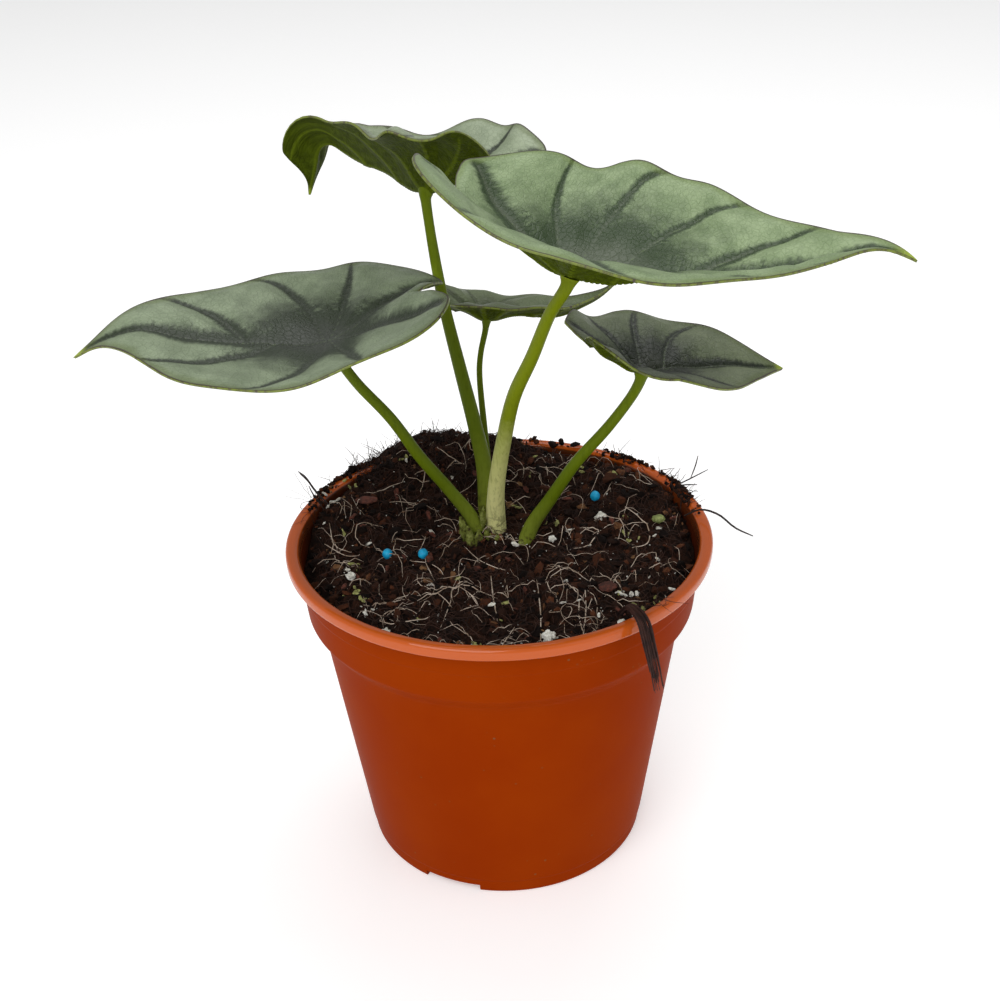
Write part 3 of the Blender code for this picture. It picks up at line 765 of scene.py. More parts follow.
@dataclass(frozen=True)
class Petiole:
    """The stalk of one blade, from the crown to the underside of the blade."""

    blade: Blade
    route: tuple[Point, ...]
    radii: tuple[float, float]  # at the foot and at the top
    base_swell: float  # how much wider the foot is
    finish: PetioleFinish = PetioleFinish()
    foot_reach: float = 16.0  # how far up the foot's swelling goes
    flare: tuple[float, float] = (0.6, 1.4)  # how much wider the top is, and over what length
    shoulder: tuple[float, float] = (0.14, 6.0)  # the same for the slow swelling under the flare
    bury: float = 0.3  # depth of the top under the blade's middle surface
    neck: float = 3.4  # length of the last stretch, which leans halfway to square
    fit_reach: float = 6.0  # how far from the joint the top is fitted to the blade
    fit_depth: float = 3.0  # how far below the joint the fitting starts
    skin: float = 0.45  # how far the fitted top stays below the blade's upper side
    steps: int = 70

    def line(self) -> np.ndarray:
        """Points from inside the potting mix to the bend under the blade's joint."""
        joint = Vector(self.blade.joint)
        top = self.blade.frame() @ Vector((0, 0, -self.bury))
        arrival, square = (joint - Vector(self.route[-1])).normalized(), (joint - top).normalized()
        lean = (arrival + square).normalized()
        return smooth_route((*self.route, tuple(top - self.neck * lean), tuple(top)), self.steps)

    def build(self) -> bpy.types.Object:
        """Makes the stalk, with a swollen foot and a flare where it spreads into the blade."""
        line = self.line()
        run = np.concatenate([[0], np.cumsum(np.linalg.norm(line[1:] - line[:-1], axis=1))])
        left = run[-1] - run
        share = run / run[-1]
        radii = self.radii[0] + (self.radii[1] - self.radii[0]) * share
        radii = radii * (1 + self.base_swell * np.exp(-(run / self.foot_reach) ** 2))
        radii = radii * (1 + sum(swell * np.exp(-(left / reach) ** 2)
                                 for swell, reach in (self.flare, self.shoulder)))
        name = f"stalk_{self.blade.side}"
        mesh = strands_mesh(name, [Strand(line.tolist(), radii.tolist())], 6)
        self._fit_top(mesh)
        paint = self.finish.paint(name, line[0][2] + 6, line[-1][2])
        return finished(name, mesh, [paint], [f"petiole_{self.blade.side}"])

    def _fit_top(self, mesh: bpy.types.Mesh) -> None:
        """Raises the stalk's last stretch to meet the two slopes of the blade's underside."""
        place = self.blade.frame()
        back = place.inverted()
        for point in mesh.vertices:
            spot = back @ (point.co / MM)
            if math.hypot(spot.x, spot.y) < self.fit_reach:
                share = min(1.0, max(0.0, 1 + spot.z / self.fit_depth))
                rise = abs(spot.y) * math.tan(math.radians(self.blade.cup[int(spot.y > 0)]))
                spot.z = min(spot.z + share**2 * rise, rise - self.skin)
                point.co = (place @ spot) * MM


# ------------------------------------------------------------------------------------------- pot


@dataclass(frozen=True)
class PotFinish:
    """The moulded plastic of the pot."""

    colour: Colour = (0.25, 0.025, 0.0002)
    light: Colour = (0.3, 0.038, 0.0005)
    # painted highlight: the upward-facing lip is coloured lighter, as if lit from above
    lip: Colour = (0.56, 0.105, 0.014)
    dirt: Colour = (0.16, 0.09, 0.04)
    roughness: float = 0.42
    # the mix's stain with painted shade: the inner wall above the mix is darkened where shade falls
    stain_and_shade: Colour = (0.022, 0.008, 0.004)
    lip_foot: float = 93.0  # height where the lip starts
    wall_foot: tuple[float, float] = (54.65, 76.2)  # radius and height of the middle of the collar's wall
    wall_slope: float = 0.097  # how far it leans outwards for each millimetre up
    stain_and_shade_foot: float = 84.0  # height where the mix's stain and the painted shade start, inside

    def paint(self) -> Paint:
        """Satin plastic with faint flow marks, fine texture, smudges and specks of dried dust, a painted
        highlight on the lip, and the mix's stain with painted shade inside the wall.
        """
        paint = Paint("pot_plastic_moulded", roughness=self.roughness, Specular_IOR_Level=0.03, IOR=1.2)
        place, height = paint.place(), paint.height()
        lip = height.between(self.lip_foot * MM, (self.lip_foot + 0.6) * MM)
        cloud = paint.noise(place, 22.0, 4.0, 0.55)
        flow = paint.noise(paint.stretched(place, (1.0, 1.0, 0.25)), 90.0, 3.0)
        skin = paint.mix(cloud.between(0.35, 0.7) * 0.5 + flow * 0.15, self.colour, self.light)
        # painted highlight: the lip above lip_foot takes the lighter lip colour
        skin = paint.mix(lip * 0.8, skin, self.lip)
        sparse = paint.noise(place, 130.0, 2.0).between(0.58, 0.7)
        specks = (1 - paint.cells(place, 420.0).between(0.1, 0.2)) * sparse
        skin = paint.mix(specks * 0.65, skin, self.dirt)
        flat = paint.stretched(place, (1.0, 1.0, 0.0))
        radius = paint.node("ShaderNodeVectorMath", {"operation": "LENGTH"}, {0: flat}, "Value")
        middle = height * self.wall_slope + (self.wall_foot[0] - self.wall_foot[1] * self.wall_slope) * MM
        inside = (middle - radius).between(0.0, 0.3 * MM)
        inside = inside * height.between(self.stain_and_shade_foot * MM, (self.stain_and_shade_foot + 2.0) * MM)
        # stain with painted shade on the inner wall above the mix
        skin = paint.mix(inside * (cloud.between(0.2, 0.6) * 0.45 + 0.5), skin, self.stain_and_shade)
        smudge = paint.noise(place, 60.0, 6.0, 0.7).between(0.6, 0.85)
        skin = paint.mix(smudge * 0.16, skin, self.dirt)
        paint.feed("Base Color", skin)
        grain = paint.noise(place, 1800.0, 2.0)
        paint.feed("Coat Weight", lip * 0.7)
        paint.feed("Roughness", self.roughness + smudge * 0.25 + (cloud - 0.5) * 0.2 + (grain - 0.5) * 0.1)
        paint.bump(grain * 0.4 + flow * 0.7, 0.07, 0.5)
        return paint


@dataclass(frozen=True)
class Pot:
    """The nursery pot, in one moulding."""

    height: float = 96.8
    wall: float = 1.1
    lip_radius: float = 60.0
    lip_height: float = 3.8
    collar_top: float = 57.2
    collar_foot: float = 55.2
    collar_drop: float = 20.6
    line_drop: float = 10.5  # of the fine line round the collar
    shoulder: float = 51.2
    shoulder_drop: float = 25.0
    foot: float = 41.0
    skirt: float = 2.4
    pad: float = 22.0
    channel: float = 3.0
    drain_holes: int = 8
    drain_radius: float = 2.4
    drain_circle: float = 31.0
    notches: int = 3
    notch_height: float = 2.4
    notch_angle: float = 24.0
    first_notch: float = -114.0
    steps: int = 180
    finish: PotFinish = PotFinish()

    def inner(self, height: float) -> float:
        """Inner radius of the wall at a height."""
        shoulder = self.height - self.shoulder_drop
        if height > self.height - self.collar_drop:
            share = (self.height - height) / self.collar_drop
            return self.collar_top + (self.collar_foot - self.collar_top) * share - self.wall
        return self.foot + (self.shoulder - self.foot) * min(height / shoulder, 1.0) - self.wall

    def outer(self, height: float) -> float:
        """Outer radius of the wall at a height."""
        return self.inner(height) + self.wall

    def profile(self) -> list[tuple[float, float]]:
        """The section of the pot, inside first, with every edge rounded."""
        top, collar = self.height, self.height - self.collar_drop
        shoulder, floor = self.height - self.shoulder_drop, self.channel + self.wall
        line = top - self.line_drop
        return rounded_profile((
            (0, self.wall, 0), (self.pad - 1, self.wall, 1), (self.pad + 1, floor, 1),
            (self.inner(floor), floor, 1.2), (self.inner(shoulder - 1), shoulder - 1, 1),
            (self.inner(collar + 1), collar + 1, 1), (self.inner(top - 1.6), top - 1.6, 0.8),
            (self.collar_top - self.wall + 0.9, top - 0.25, 0.8), (self.lip_radius - 0.9, top, 0.9),
            (self.lip_radius, top - 0.8, 0.8), (self.lip_radius - 0.1, top - self.lip_height + 0.5, 0.6),
            (self.lip_radius - 0.9, top - self.lip_height, 0.5),
            (self.collar_top - 0.2, top - self.lip_height, 0.5),
            (self.outer(line + 0.3) + 0.1, line + 0.3, 0.3),
            (self.outer(line - 0.3) - 0.12, line - 0.3, 0.3),
            (self.collar_foot - 0.05, collar + 1.2, 0.8), (self.collar_foot - 0.9, collar, 0.7),
            (self.shoulder + 0.5, shoulder + 1.2, 1.2), (self.shoulder - 0.3, shoulder - 3.0, 1.4),
            (self.foot + 0.62, 5.0, 0.4), (self.foot + 0.25, 4.4, 0.4), (self.foot - 0.2, 0.6, 0.5),
            (self.foot - 0.7, 0, 0.4), (self.foot - self.skirt, 0, 0.4),
            (self.foot - self.skirt - 0.6, self.channel, 0.6), (self.pad + 2, self.channel, 0.6),
            (self.pad, 0, 0.5), (0, 0, 0),
        ))

    def _cutters(self) -> bmesh.types.BMesh:
        """Pegs for the drain holes and blocks for the notches in the foot."""
        shape = bmesh.new()
        for index in range(self.drain_holes):
            angle = math.tau * (index + 0.5) / self.drain_holes
            spot = Matrix.Translation((self.drain_circle * math.cos(angle),
                                       self.drain_circle * math.sin(angle), 4))
            bmesh.ops.create_cone(shape, cap_ends=True, segments=32, radius1=self.drain_radius,
                                  radius2=self.drain_radius, depth=8, matrix=spot)
        width = 2 * self.foot * math.sin(math.radians(self.notch_angle / 2))
        for index in range(self.notches):
            turn = Matrix.Rotation(math.radians(self.first_notch + 360 / self.notches * index), 4, "Z")
            block = turn @ Matrix.Translation((self.foot - 1, 0, 0))
            size = Matrix.Diagonal((8, width, 2 * self.notch_height, 1))
            bmesh.ops.create_cube(shape, size=1, matrix=block @ size)
        return shape

    def build(self) -> bpy.types.Object:
        """Makes the pot and cuts its drain holes and notches."""
        mesh = to_mesh("pot_shell", turned(self.profile(), self.steps))
        body = bpy.data.objects.new("pot_blank", mesh)
        tools = bpy.data.objects.new("pot_tools", to_mesh("pot_tools", self._cutters()))
        for thing in (body, tools):
            bpy.context.scene.collection.objects.link(thing)
        cut = body.modifiers.new("cut", "BOOLEAN")
        cut.operation = "DIFFERENCE"
        cut.object = tools
        graph = bpy.context.evaluated_depsgraph_get()
        carved = bpy.data.meshes.new_from_object(body.evaluated_get(graph))
        for thing in (body, tools):
            bpy.data.objects.remove(thing)
        return finished("nursery_pot", carved, [self.finish.paint()], ["pot"], crease=35.0)


# ------------------------------------------------------------------------------------ potting mix


@dataclass(frozen=True)
class MixFinish:
    """Colours of the potting mix and what lies in it, linear."""

    peat: Colour = (0.0055, 0.0026, 0.0018)
    coir: Colour = (0.024, 0.009, 0.005)
    rust: Colour = (0.09, 0.028, 0.012)
    tan: Colour = (0.24, 0.13, 0.06)

    def soil(self) -> Paint:
        """Moist dark peat with reddish coir dust."""
        paint = Paint("moist_peat", roughness=0.95, Specular_IOR_Level=0.12)
        place = paint.place()
        cloud = paint.noise(place, 160.0, 5.0, 0.65)
        grit = paint.noise(place, 1100.0, 4.0, 0.75)
        skin = paint.ramp(cloud * 0.5 + grit * 0.5, (0.42, self.peat), (0.56, self.coir), (0.72, self.rust))
        paint.feed("Base Color", skin)
        paint.bump(cloud * 0.5 + grit * 0.7, 0.8, 1.0)
        return paint

    def crumb(self) -> Paint:
        """Crumbs whose colour goes by their own shade, from black peat to reddish bark."""
        paint = Paint("peat_crumb", roughness=0.92, Specular_IOR_Level=0.15)
        grit = paint.noise(paint.place(), 1500.0, 4.0, 0.75)
        shade = paint.attribute("shade") + (grit - 0.5) * 0.5
        skin = paint.ramp(shade, (0.15, self.peat), (0.45, self.coir), (0.8, self.rust), (1.0, self.tan))
        paint.feed("Base Color", skin)
        paint.bump(grit, 0.5, 1.0)
        return paint

    @staticmethod
    def fibre(name: str, light: Colour, dark: Colour) -> Paint:
        """A dry root or coir fibre, darker in stretches."""
        paint = Paint(name, roughness=0.75, Specular_IOR_Level=0.3)
        place = paint.place()
        band = paint.noise(place, 260.0, 3.0, 0.6)
        paint.feed("Base Color", paint.mix(band.between(0.35, 0.68), light, dark))
        paint.bump(paint.noise(place, 2500.0, 2.0), 0.08, 0.8)
        return paint

    @staticmethod
    def grain(name: str, light: Colour, dark: Colour, roughness: float = 0.9,
              fine: float = 900.0) -> Paint:
        """A small solid grain with a pitted surface."""
        paint = Paint(name, roughness=roughness, Specular_IOR_Level=0.3)
        pit = paint.noise(paint.place(), fine, 4.0, 0.65)
        paint.feed("Base Color", paint.mix(pit.between(0.35, 0.65), dark, light))
        paint.bump(pit, 0.3, 0.9)
        return paint

    def coirs(self) -> list[Paint]:
        """The finishes of coir fibres: nearly black, rust red, brown and straw."""
        return [
            self.fibre("coir_dark", (0.05, 0.019, 0.011), (0.014, 0.006, 0.004)),
            self.fibre("coir_rust", (0.3, 0.1, 0.045), (0.08, 0.028, 0.015)),
            self.fibre("coir_brown", (0.2, 0.085, 0.045), (0.06, 0.025, 0.014)),
            self.fibre("coir_straw", (0.42, 0.25, 0.12), (0.2, 0.1, 0.045)),
        ]

    def rootlets(self) -> list[Paint]:
        """The finishes of dry rootlets: pale, pinkish tan and brown."""
        return [
            self.fibre("root_pale", (0.68, 0.56, 0.46), (0.34, 0.24, 0.17)),
            self.fibre("root_tan", (0.5, 0.32, 0.23), (0.22, 0.12, 0.08)),
            self.fibre("root_brown", (0.24, 0.12, 0.07), (0.1, 0.045, 0.025)),
        ]


@dataclass(frozen=True)
class Tuft:
    """Fibres that stand up from one stretch of the mix, or hang over the rim there."""

    centre: tuple[float, float]
    spread: tuple[float, float]
    count: int
    reach: tuple[float, float]  # the shortest fibre and the longest
    lean: float  # 0 stands up and 1 lies outwards
    finishes: tuple[int, ...]
    radius: tuple[float, float]


@dataclass(frozen=True)
class Heap:
    """Crumbs gathered in one place."""

    centre: tuple[float, float]
    spread: tuple[float, float]
    count: int
    sizes: tuple[float, float]


@dataclass(frozen=True)
class Litter:
    """Fibres or rootlets that lie all over the mix."""

    count: int
    length: tuple[float, float]
    lift: tuple[float, float]  # how high the middle stands off the mix
    curl: tuple[float, float]  # how quickly it turns, in degrees a millimetre
    radius: tuple[float, float]
    finishes: tuple[int, ...]
    mound_every: int = 0  # one in so many lies on the mound


@dataclass(frozen=True)
class Specks:
    """Small bits of one kind, some of them in little heaps and the rest all over the mix."""

    name: str
    slot: str
    light: Colour
    dark: Colour
    sizes: tuple[float, float]
    scattered: int
    heaps: tuple[tuple[float, float], ...] = ()
    in_heap: int = 0
    spread: float = 0.0


@dataclass
class PottingMix:
    """The potting mix, heaped over the rim at the back left, with all that lies in and on it."""

    pot: Pot
    level: float = 89.0
    mound: float = 13.5
    mound_centre: tuple[float, float] = (-19.0, 50.0)
    mound_spread: tuple[float, float] = (26.0, 15.0)
    crown: tuple[float, float] = (-0.5, 14.0)
    crown_rise: float = 2.0
    crown_spread: float = 22.0
    banks: tuple[tuple[tuple[float, float], float, float], ...] = (  # centre, spread and rise
        ((44.0, 30.0), 17.0, 7.5), ((-50.0, 20.0), 10.0, 5.5))
    hollows: float = 1.2  # height of the rough surface's broad unevenness
    clods: float = 1.8
    grit: float = 0.5
    edge_dip: float = 1.2  # how far the mix drops at the wall
    edge_start: float = 0.93  # where it starts to drop, as a share of the radius
    rings: int = 150
    steps: int = 400
    crumbs: int = 4600
    crumb_size: tuple[float, float] = (0.28, 1.3)  # the least radius, and the most that is added
    fibres: Litter = Litter(2600, (3, 13), (0, 1.8), (0, 13), (0.05, 0.11), (0, 1, 1, 2, 2, 3), 4)
    roots: Litter = Litter(250, (4, 18), (0.3, 2.6), (1, 15), (0.05, 0.12), (0, 0, 1, 1, 2))
    mound_litter: tuple[float, float] = (20, 9)  # spread of the fibres on the mound
    heaps: tuple[Heap, ...] = (
        Heap((-19, 54), (17, 2.5), 420, (0.25, 1.1)),
        Heap((-24, 46), (17, 6), 420, (0.25, 1.0)),
        Heap((37, 43), (7, 2.5), 130, (0.25, 0.7)),
        Heap((54, 22), (2.4, 6), 150, (0.2, 0.7)),
        Heap((-52, 22), (2, 8), 90, (0.2, 0.7)),
        Heap((-6.5, 4), (3, 2), 60, (0.25, 0.7)),
    )
    tufts: tuple[Tuft, ...] = (
        Tuft((-19, 49), (18, 2.5), 130, (1, 3.8), 0.05, (0, 1, 2), (0.05, 0.1)),
        Tuft((-27, 42), (14, 7), 170, (2, 5), 0.4, (1, 2, 3), (0.05, 0.11)),
        Tuft((38, 42), (8, 3), 30, (1, 2.5), 0.3, (0, 1, 2), (0.05, 0.1)),
        Tuft((52.5, 24), (2.6, 6), 70, (0.8, 3.0), 0.5, (1, 2, 2, 3), (0.06, 0.12)),
        Tuft((56, 13), (1.2, 4), 12, (1.2, 2.4), 0.8, (1, 2), (0.04, 0.09)),
        Tuft((-53.5, 19), (1.2, 5), 14, (3, 9), 0.55, (1, 2, 3), (0.04, 0.08)),
        Tuft((41, -40), (5, 2), 12, (2, 5), 0.9, (1, 3), (0.05, 0.09)),
    )
    rootlets: tuple[tuple[tuple[float, float], ...], ...] = (
        ((-25, -28.5), (-30, -29.5), (-32, -34.5), (-29.5, -36), (-24, -34.5), (-19, -33)),
        ((10, -17), (10.5, -31), (10, -45)), ((-2.5, -14), (-2, -25), (-1, -36)),
        ((23, -20.5), (22.5, -32.5), (21, -44.5)), ((21, -28), (20.5, -36), (21.5, -44)),
        ((17.5, -17), (20, -22), (22, -27)),
        ((20, 4.5), (21.5, 7.5), (25.5, 7.5), (28.5, 4.5), (25, 0), (21, -1.5)),
        ((37, 15.5), (40.5, 11.5), (43, 5.5), (42, 0), (37.5, -1.5)),
        ((-22.5, -25.5), (-18.5, -23), (-13.5, -20), (-9, -19), (-4, -22), (-1, -25)),
        ((-13.5, -36), (-9.5, -41), (-7, -47)), ((-12.5, -44.5), (-10, -50)),
        ((3.5, -38.5), (1, -45), (-1, -50)), ((-25.5, -4.5), (-20.5, -5.5), (-17, -9), (-15.5, -13)),
        ((-10, 1), (-5.5, -6.5), (-1, -10.5), (1.5, -11.5)),
        ((-37, -27), (-32.5, -25.5), (-27, -23.5)), ((-16, -37.5), (-13.5, -26), (-13, -20), (-9, -17.5)),
        ((27.5, -14), (31, -18), (33, -23.5), (33.5, -27)), ((12.5, -17), (13.5, -22), (15, -25)),
        ((-21.5, 37.5), (-22, 32), (-23, 27)), ((-17.5, 29.5), (-15, 21.5)),
        ((-49, 12), (-47, 4), (-42, 1)), ((-50, 5), (-44, 0), (-39, 0)),
    )
    thick_rootlets: int = 9  # how many of the placed rootlets, from the first, are thicker
    specks: tuple[Specks, ...] = (
        Specks("perlite_dust", "perlite", (0.8, 0.78, 0.72), (0.5, 0.48, 0.44), (0.13, 0.3), 190),
        Specks("perlite_bits", "perlite", (0.82, 0.8, 0.74), (0.5, 0.47, 0.4), (0.35, 0.85), 40, (
            (29.8, 11.3), (12, -45.2), (-30.3, -41.8), (-49, 21.5), (33, -25), (-36, -30)), 5, 1.3),
        Specks("straw_bits", "pod", (0.42, 0.42, 0.16), (0.2, 0.2, 0.06), (0.4, 0.9), 16, (
            (-43, 32), (-40.5, -5.5), (-39.5, -18.5), (-37, -23), (25, 38.5), (37, 3), (41.5, -27.5),
            (37, -31.5), (6.5, 21.5), (-6.5, -47), (-27, 40), (17, 11)), 4, 1.1),
        Specks("bark_bits", "bark", (0.14, 0.04, 0.025), (0.05, 0.018, 0.012), (0.6, 1.5), 34),
    )
    finish: MixFinish = MixFinish()
    dice: random.Random = field(default_factory=lambda: random.Random(31))

    @staticmethod
    def _hill(x: float, y: float, centre: tuple[float, float], spread: tuple[float, float]) -> float:
        """A smooth hill of height 1."""
        across, along = (x - centre[0]) / spread[0], (y - centre[1]) / spread[1]
        return math.exp(-0.5 * (across * across + along * along))

    def height(self, x: float, y: float) -> float:
        """Height of the mix, as smooth as the frame's own."""
        level = self.level + self.crown_rise * self._hill(x, y, self.crown, (self.crown_spread,) * 2)
        level += self.mound * self._hill(x, y, self.mound_centre, self.mound_spread)
        for centre, spread, rise in self.banks:
            level += rise * self._hill(x, y, centre, (spread, spread))
        return level + 0.9 * noise.noise(Vector((x * 0.09, y * 0.09, 3.7)))

    def rough_height(self, x: float, y: float) -> float:
        """Height of the crumbly surface: broad hollows, clods with deep gaps, and grit."""
        spot = Vector((x, y, 0.0))
        broad = noise.fractal(spot * 0.12 + Vector((9, 4, 2)), 0.9, 2.1, 3)
        clods = 0.5 - noise.voronoi(spot * 0.38 + Vector((3, 8, 5)))[0][0]
        grit = noise.fractal(spot * 0.9 + Vector((1, 7, 4)), 0.5, 2.1, 3)
        past = max(0.0, math.hypot(x, y) / self.pot.inner(self.level) - self.edge_start)
        dip = self.edge_dip * past / (1 - self.edge_start)
        return self.height(x, y) + self.hollows * broad + self.clods * clods + self.grit * grit - dip

    def resting(self, x: float, y: float) -> float:
        """Height of what lies under a place: the mix, or the pot's rim beyond it."""
        ground = self.rough_height(x, y)
        if self.pot.inner(self.pot.height) - 0.6 < math.hypot(x, y):
            return max(ground, self.pot.height + 0.2)
        return ground

    def build(self) -> None:
        """Makes the ground, the crumbs, the fibres and roots, and the small loose things."""
        self._ground()
        self._crumbs()
        self._fibres()
        self._rootlets()
        self._specks()

    def _ground(self) -> None:
        """The body of the mix: a turned solid with a crumbly top."""
        pot, floor = self.pot, self.pot.channel + self.pot.wall + 0.3
        shoulder, collar = pot.height - pot.shoulder_drop, pot.height - pot.collar_drop
        edge = pot.inner(self.level) - 0.15
        profile = [(edge * index / self.rings, self.level) for index in range(self.rings + 1)]
        profile += [(pot.inner(h) - 0.2, h) for h in (self.level - 4, collar + 2, shoulder - 1, floor)]
        profile += [(pot.pad + 0.5, floor), (pot.pad - 2, pot.wall + 0.3), (0, pot.wall + 0.3)]
        shape = turned(profile, self.steps)
        for point in shape.verts:
            if point.co.z > self.level - 0.1:
                point.co.z = self.rough_height(point.co.x, point.co.y)
        finished("peat_ground", to_mesh("peat_ground", shape), [self.finish.soil()], ["potting_mix"],
                 crease=180.0)

    def _spot(self, inset: float = 2.5) -> tuple[float, float]:
        """A random place on the mix, kept off the wall."""
        radius = (self.pot.inner(self.level) - inset) * math.sqrt(self.dice.random())
        angle = self.dice.uniform(0, math.tau)
        return radius * math.cos(angle), radius * math.sin(angle)

    def _near(self, centre: tuple[float, float], spread: tuple[float, float]) -> tuple[float, float]:
        """A random place about a centre, no further out than the lip's edge."""
        x, y = self.dice.gauss(centre[0], spread[0]), self.dice.gauss(centre[1], spread[1])
        shrink = min(1.0, (self.pot.lip_radius - 1.2) / math.hypot(x, y))
        return x * shrink, y * shrink

    def _crumbs(self) -> None:
        """Uneven lumps of peat, coir and bark, most of them small, thinner over the hollows."""
        shape = bmesh.new()
        shade = shape.verts.layers.float.new("shade")
        for _ in range(self.crumbs):
            size = self.crumb_size[0] + self.crumb_size[1] * self.dice.random() ** 5
            x, y = self._spot(0.8 + size)
            if noise.noise(Vector((x * 0.22, y * 0.22, 6.0))) > -0.25:
                self._crumb(shape, shade, x, y, size)
        for heap in self.heaps:
            for _ in range(heap.count):
                x, y = self._near(heap.centre, heap.spread)
                self._crumb(shape, shade, x, y, self.dice.uniform(*heap.sizes))
        finished("peat_crumbs", to_mesh("peat_crumbs", shape), [self.finish.crumb()], [],
                 crease=35.0)

    def _crumb(self, shape: bmesh.types.BMesh, shade: Any, x: float, y: float, size: float) -> None:
        """Adds one crumb.

        Args:
            shape: the mesh that it joins.
            shade: the mesh's layer of shades.
            x: its place in X.
            y: its place in Y.
            size: its radius.
        """
        turn = Matrix.Rotation(self.dice.uniform(0, math.tau), 4, self._axis())
        long, flat = self.dice.uniform(0.8, 2.0), self.dice.uniform(0.5, 0.9)
        form = Matrix.Diagonal((size * long, size, size * flat, 1))
        spot = Matrix.Translation((x, y, self.resting(x, y) + size * self.dice.uniform(-0.1, 0.6)))
        lump = bmesh.ops.create_icosphere(shape, subdivisions=1, radius=1,
                                          matrix=spot @ turn @ form)["verts"]
        tone = min(1.0, max(0.0, self.dice.gauss(0.36, 0.27)))
        for point in lump:
            point.co += noise.noise_vector(point.co * (1.2 / size)) * size * 0.6
            point[shade] = tone

    def _axis(self) -> Vector:
        """A random direction."""
        return Vector([self.dice.gauss(0, 1) for _ in range(3)]).normalized()

    def _lying(self, x: float, y: float, length: float, lift: float, curl: float) -> list[Point]:
        """A line that wanders over the mix.

        Args:
            x: where it starts, in X.
            y: where it starts, in Y.
            length: its length.
            lift: how high its middle stands off the mix.
            curl: how quickly it turns, in degrees a millimetre.

        Returns:
            Its points, which end early at the pot's wall.
        """
        count = max(FEWEST_POINTS, int(length / 1.5))
        heading, turn = self.dice.uniform(0, math.tau), math.radians(curl) * self.dice.choice((-1, 1))
        limit = self.pot.inner(self.level) - 1.0
        points = []
        for step in range(count):
            if math.hypot(x, y) > limit and y < 30:
                break
            rise = lift * math.sin(math.pi * step / (count - 1)) + 0.3
            points.append((x, y, self.rough_height(x, y) + rise))
            heading += turn * length / count + math.radians(self.dice.gauss(0, 7))
            x += math.cos(heading) * length / count
            y += math.sin(heading) * length / count
        return points

    def _standing(self, tuft: Tuft) -> Strand:
        """One fibre of a tuft, which bends over as it goes up."""
        x, y = self._near(tuft.centre, tuft.spread)
        foot = Vector((x, y, self.resting(x, y) - 0.3))
        heading = Vector((x, y, 0)).normalized() * tuft.lean + Vector((0, 0, 1 - tuft.lean))
        heading = (heading + 0.45 * self._axis()).normalized()
        length = self.dice.uniform(*tuft.reach)
        bend = 1.1 * self._axis() - Vector((0, 0, 0.2))
        points = []
        for step in range(7):
            run = length * step / 6
            points.append(foot + heading * run + bend * (run * run / length) + self._axis() * 0.12)
        for point in points:
            if math.hypot(point.x, point.y) > self.pot.collar_top - 1.5:
                point.z = max(point.z, self.pot.height + 0.1)
        return tapered([tuple(point) for point in points], self.dice.uniform(*tuft.radius),
                       self.dice.choice(tuft.finishes))

    def _scattered(self, litter: Litter) -> list[Strand]:
        """Strands that lie all over the mix, without those that end too soon at the wall."""
        strands = []
        for index in range(litter.count):
            on_mound = litter.mound_every and index % litter.mound_every == 0
            x, y = self._near(self.mound_centre, self.mound_litter) if on_mound else self._spot()
            sizes = [self.dice.uniform(*span) for span in (litter.length, litter.lift, litter.curl)]
            line = self._lying(x, y, *sizes)
            if len(line) >= FEWEST_POINTS:
                strands.append(tapered(line, self.dice.uniform(*litter.radius),
                                       self.dice.choice(litter.finishes)))
        return strands

    def _fibres(self) -> None:
        """Coir fibres in the mix and tufts of them along its edges."""
        strands = self._scattered(self.fibres)
        for tuft in self.tufts:
            strands += [self._standing(tuft) for _ in range(tuft.count)]
        finished("coir_fibres", strands_mesh("coir_fibres", strands, 0), self.finish.coirs(), [])

    def _rootlets(self) -> None:
        """Pale rootlets that wind over and into the mix: the placed ones, then the scattered ones."""
        strands = []
        for number, route in enumerate(self.rootlets):
            flat = smooth_route([(x, y, 0) for x, y in route], 22)
            line = [(x, y, max(self.rough_height(x, y), self.height(x, y)) + 0.7) for x, y, _ in flat]
            strands.append(tapered(line, 0.17 if number < self.thick_rootlets else 0.13, number % 2))
        strands += self._scattered(self.roots)
        finished("pale_rootlets", strands_mesh("pale_rootlets", strands, 0), self.finish.rootlets(), [])

    def _places(self, kind: Specks) -> list[tuple[float, float]]:
        """Where the bits of one kind lie."""
        heaped = [self._near(heap, (kind.spread,) * 2) for heap in kind.heaps for _ in range(kind.in_heap)]
        return heaped + [self._spot(3.0) for _ in range(kind.scattered)]

    def _specks(self) -> None:
        """Perlite dust and grains, straw-coloured bits and reddish shards."""
        for kind, places in [(kind, self._places(kind)) for kind in self.specks]:
            shape = bmesh.new()
            for x, y in places:
                size = self.dice.uniform(*kind.sizes)
                spot = Matrix.Translation((x, y, self.resting(x, y) + 0.3 + 0.6 * size))
                turn = Matrix.Rotation(self.dice.uniform(0, math.tau), 4, self._axis())
                form = Matrix.Diagonal((size * 1.4, size * 0.75, size * 0.45, 1))
                lump = bmesh.ops.create_icosphere(shape, subdivisions=1 if size < 0.4 else 2, radius=1,
                                                  matrix=spot @ turn @ form)["verts"]
                for point in lump:
                    point.co += noise.noise_vector(point.co * (1.3 / size)) * size * 0.45
            grain = self.finish.grain(kind.name, kind.light, kind.dark)
            finished(kind.name, to_mesh(kind.name, shape), [grain], [], crease=30.0)


# ------------------------------------------------------------------------------------ top dressing


@dataclass(frozen=True)
class Loose:
    """The bigger loose things of one kind, each in the place of one of the frame's nodes."""

    node: str
    count: int  # 0 where the node has no number
    slot: str
    paint: str
    light: Colour
    dark: Colour
    roughness: float
    fine: float  # how fine its pits are
    unevenness: float  # how far its surface strays from round, as a share
    fill: float = 1.0  # how much of the node's box it fills before that
    seed: float = 0.0


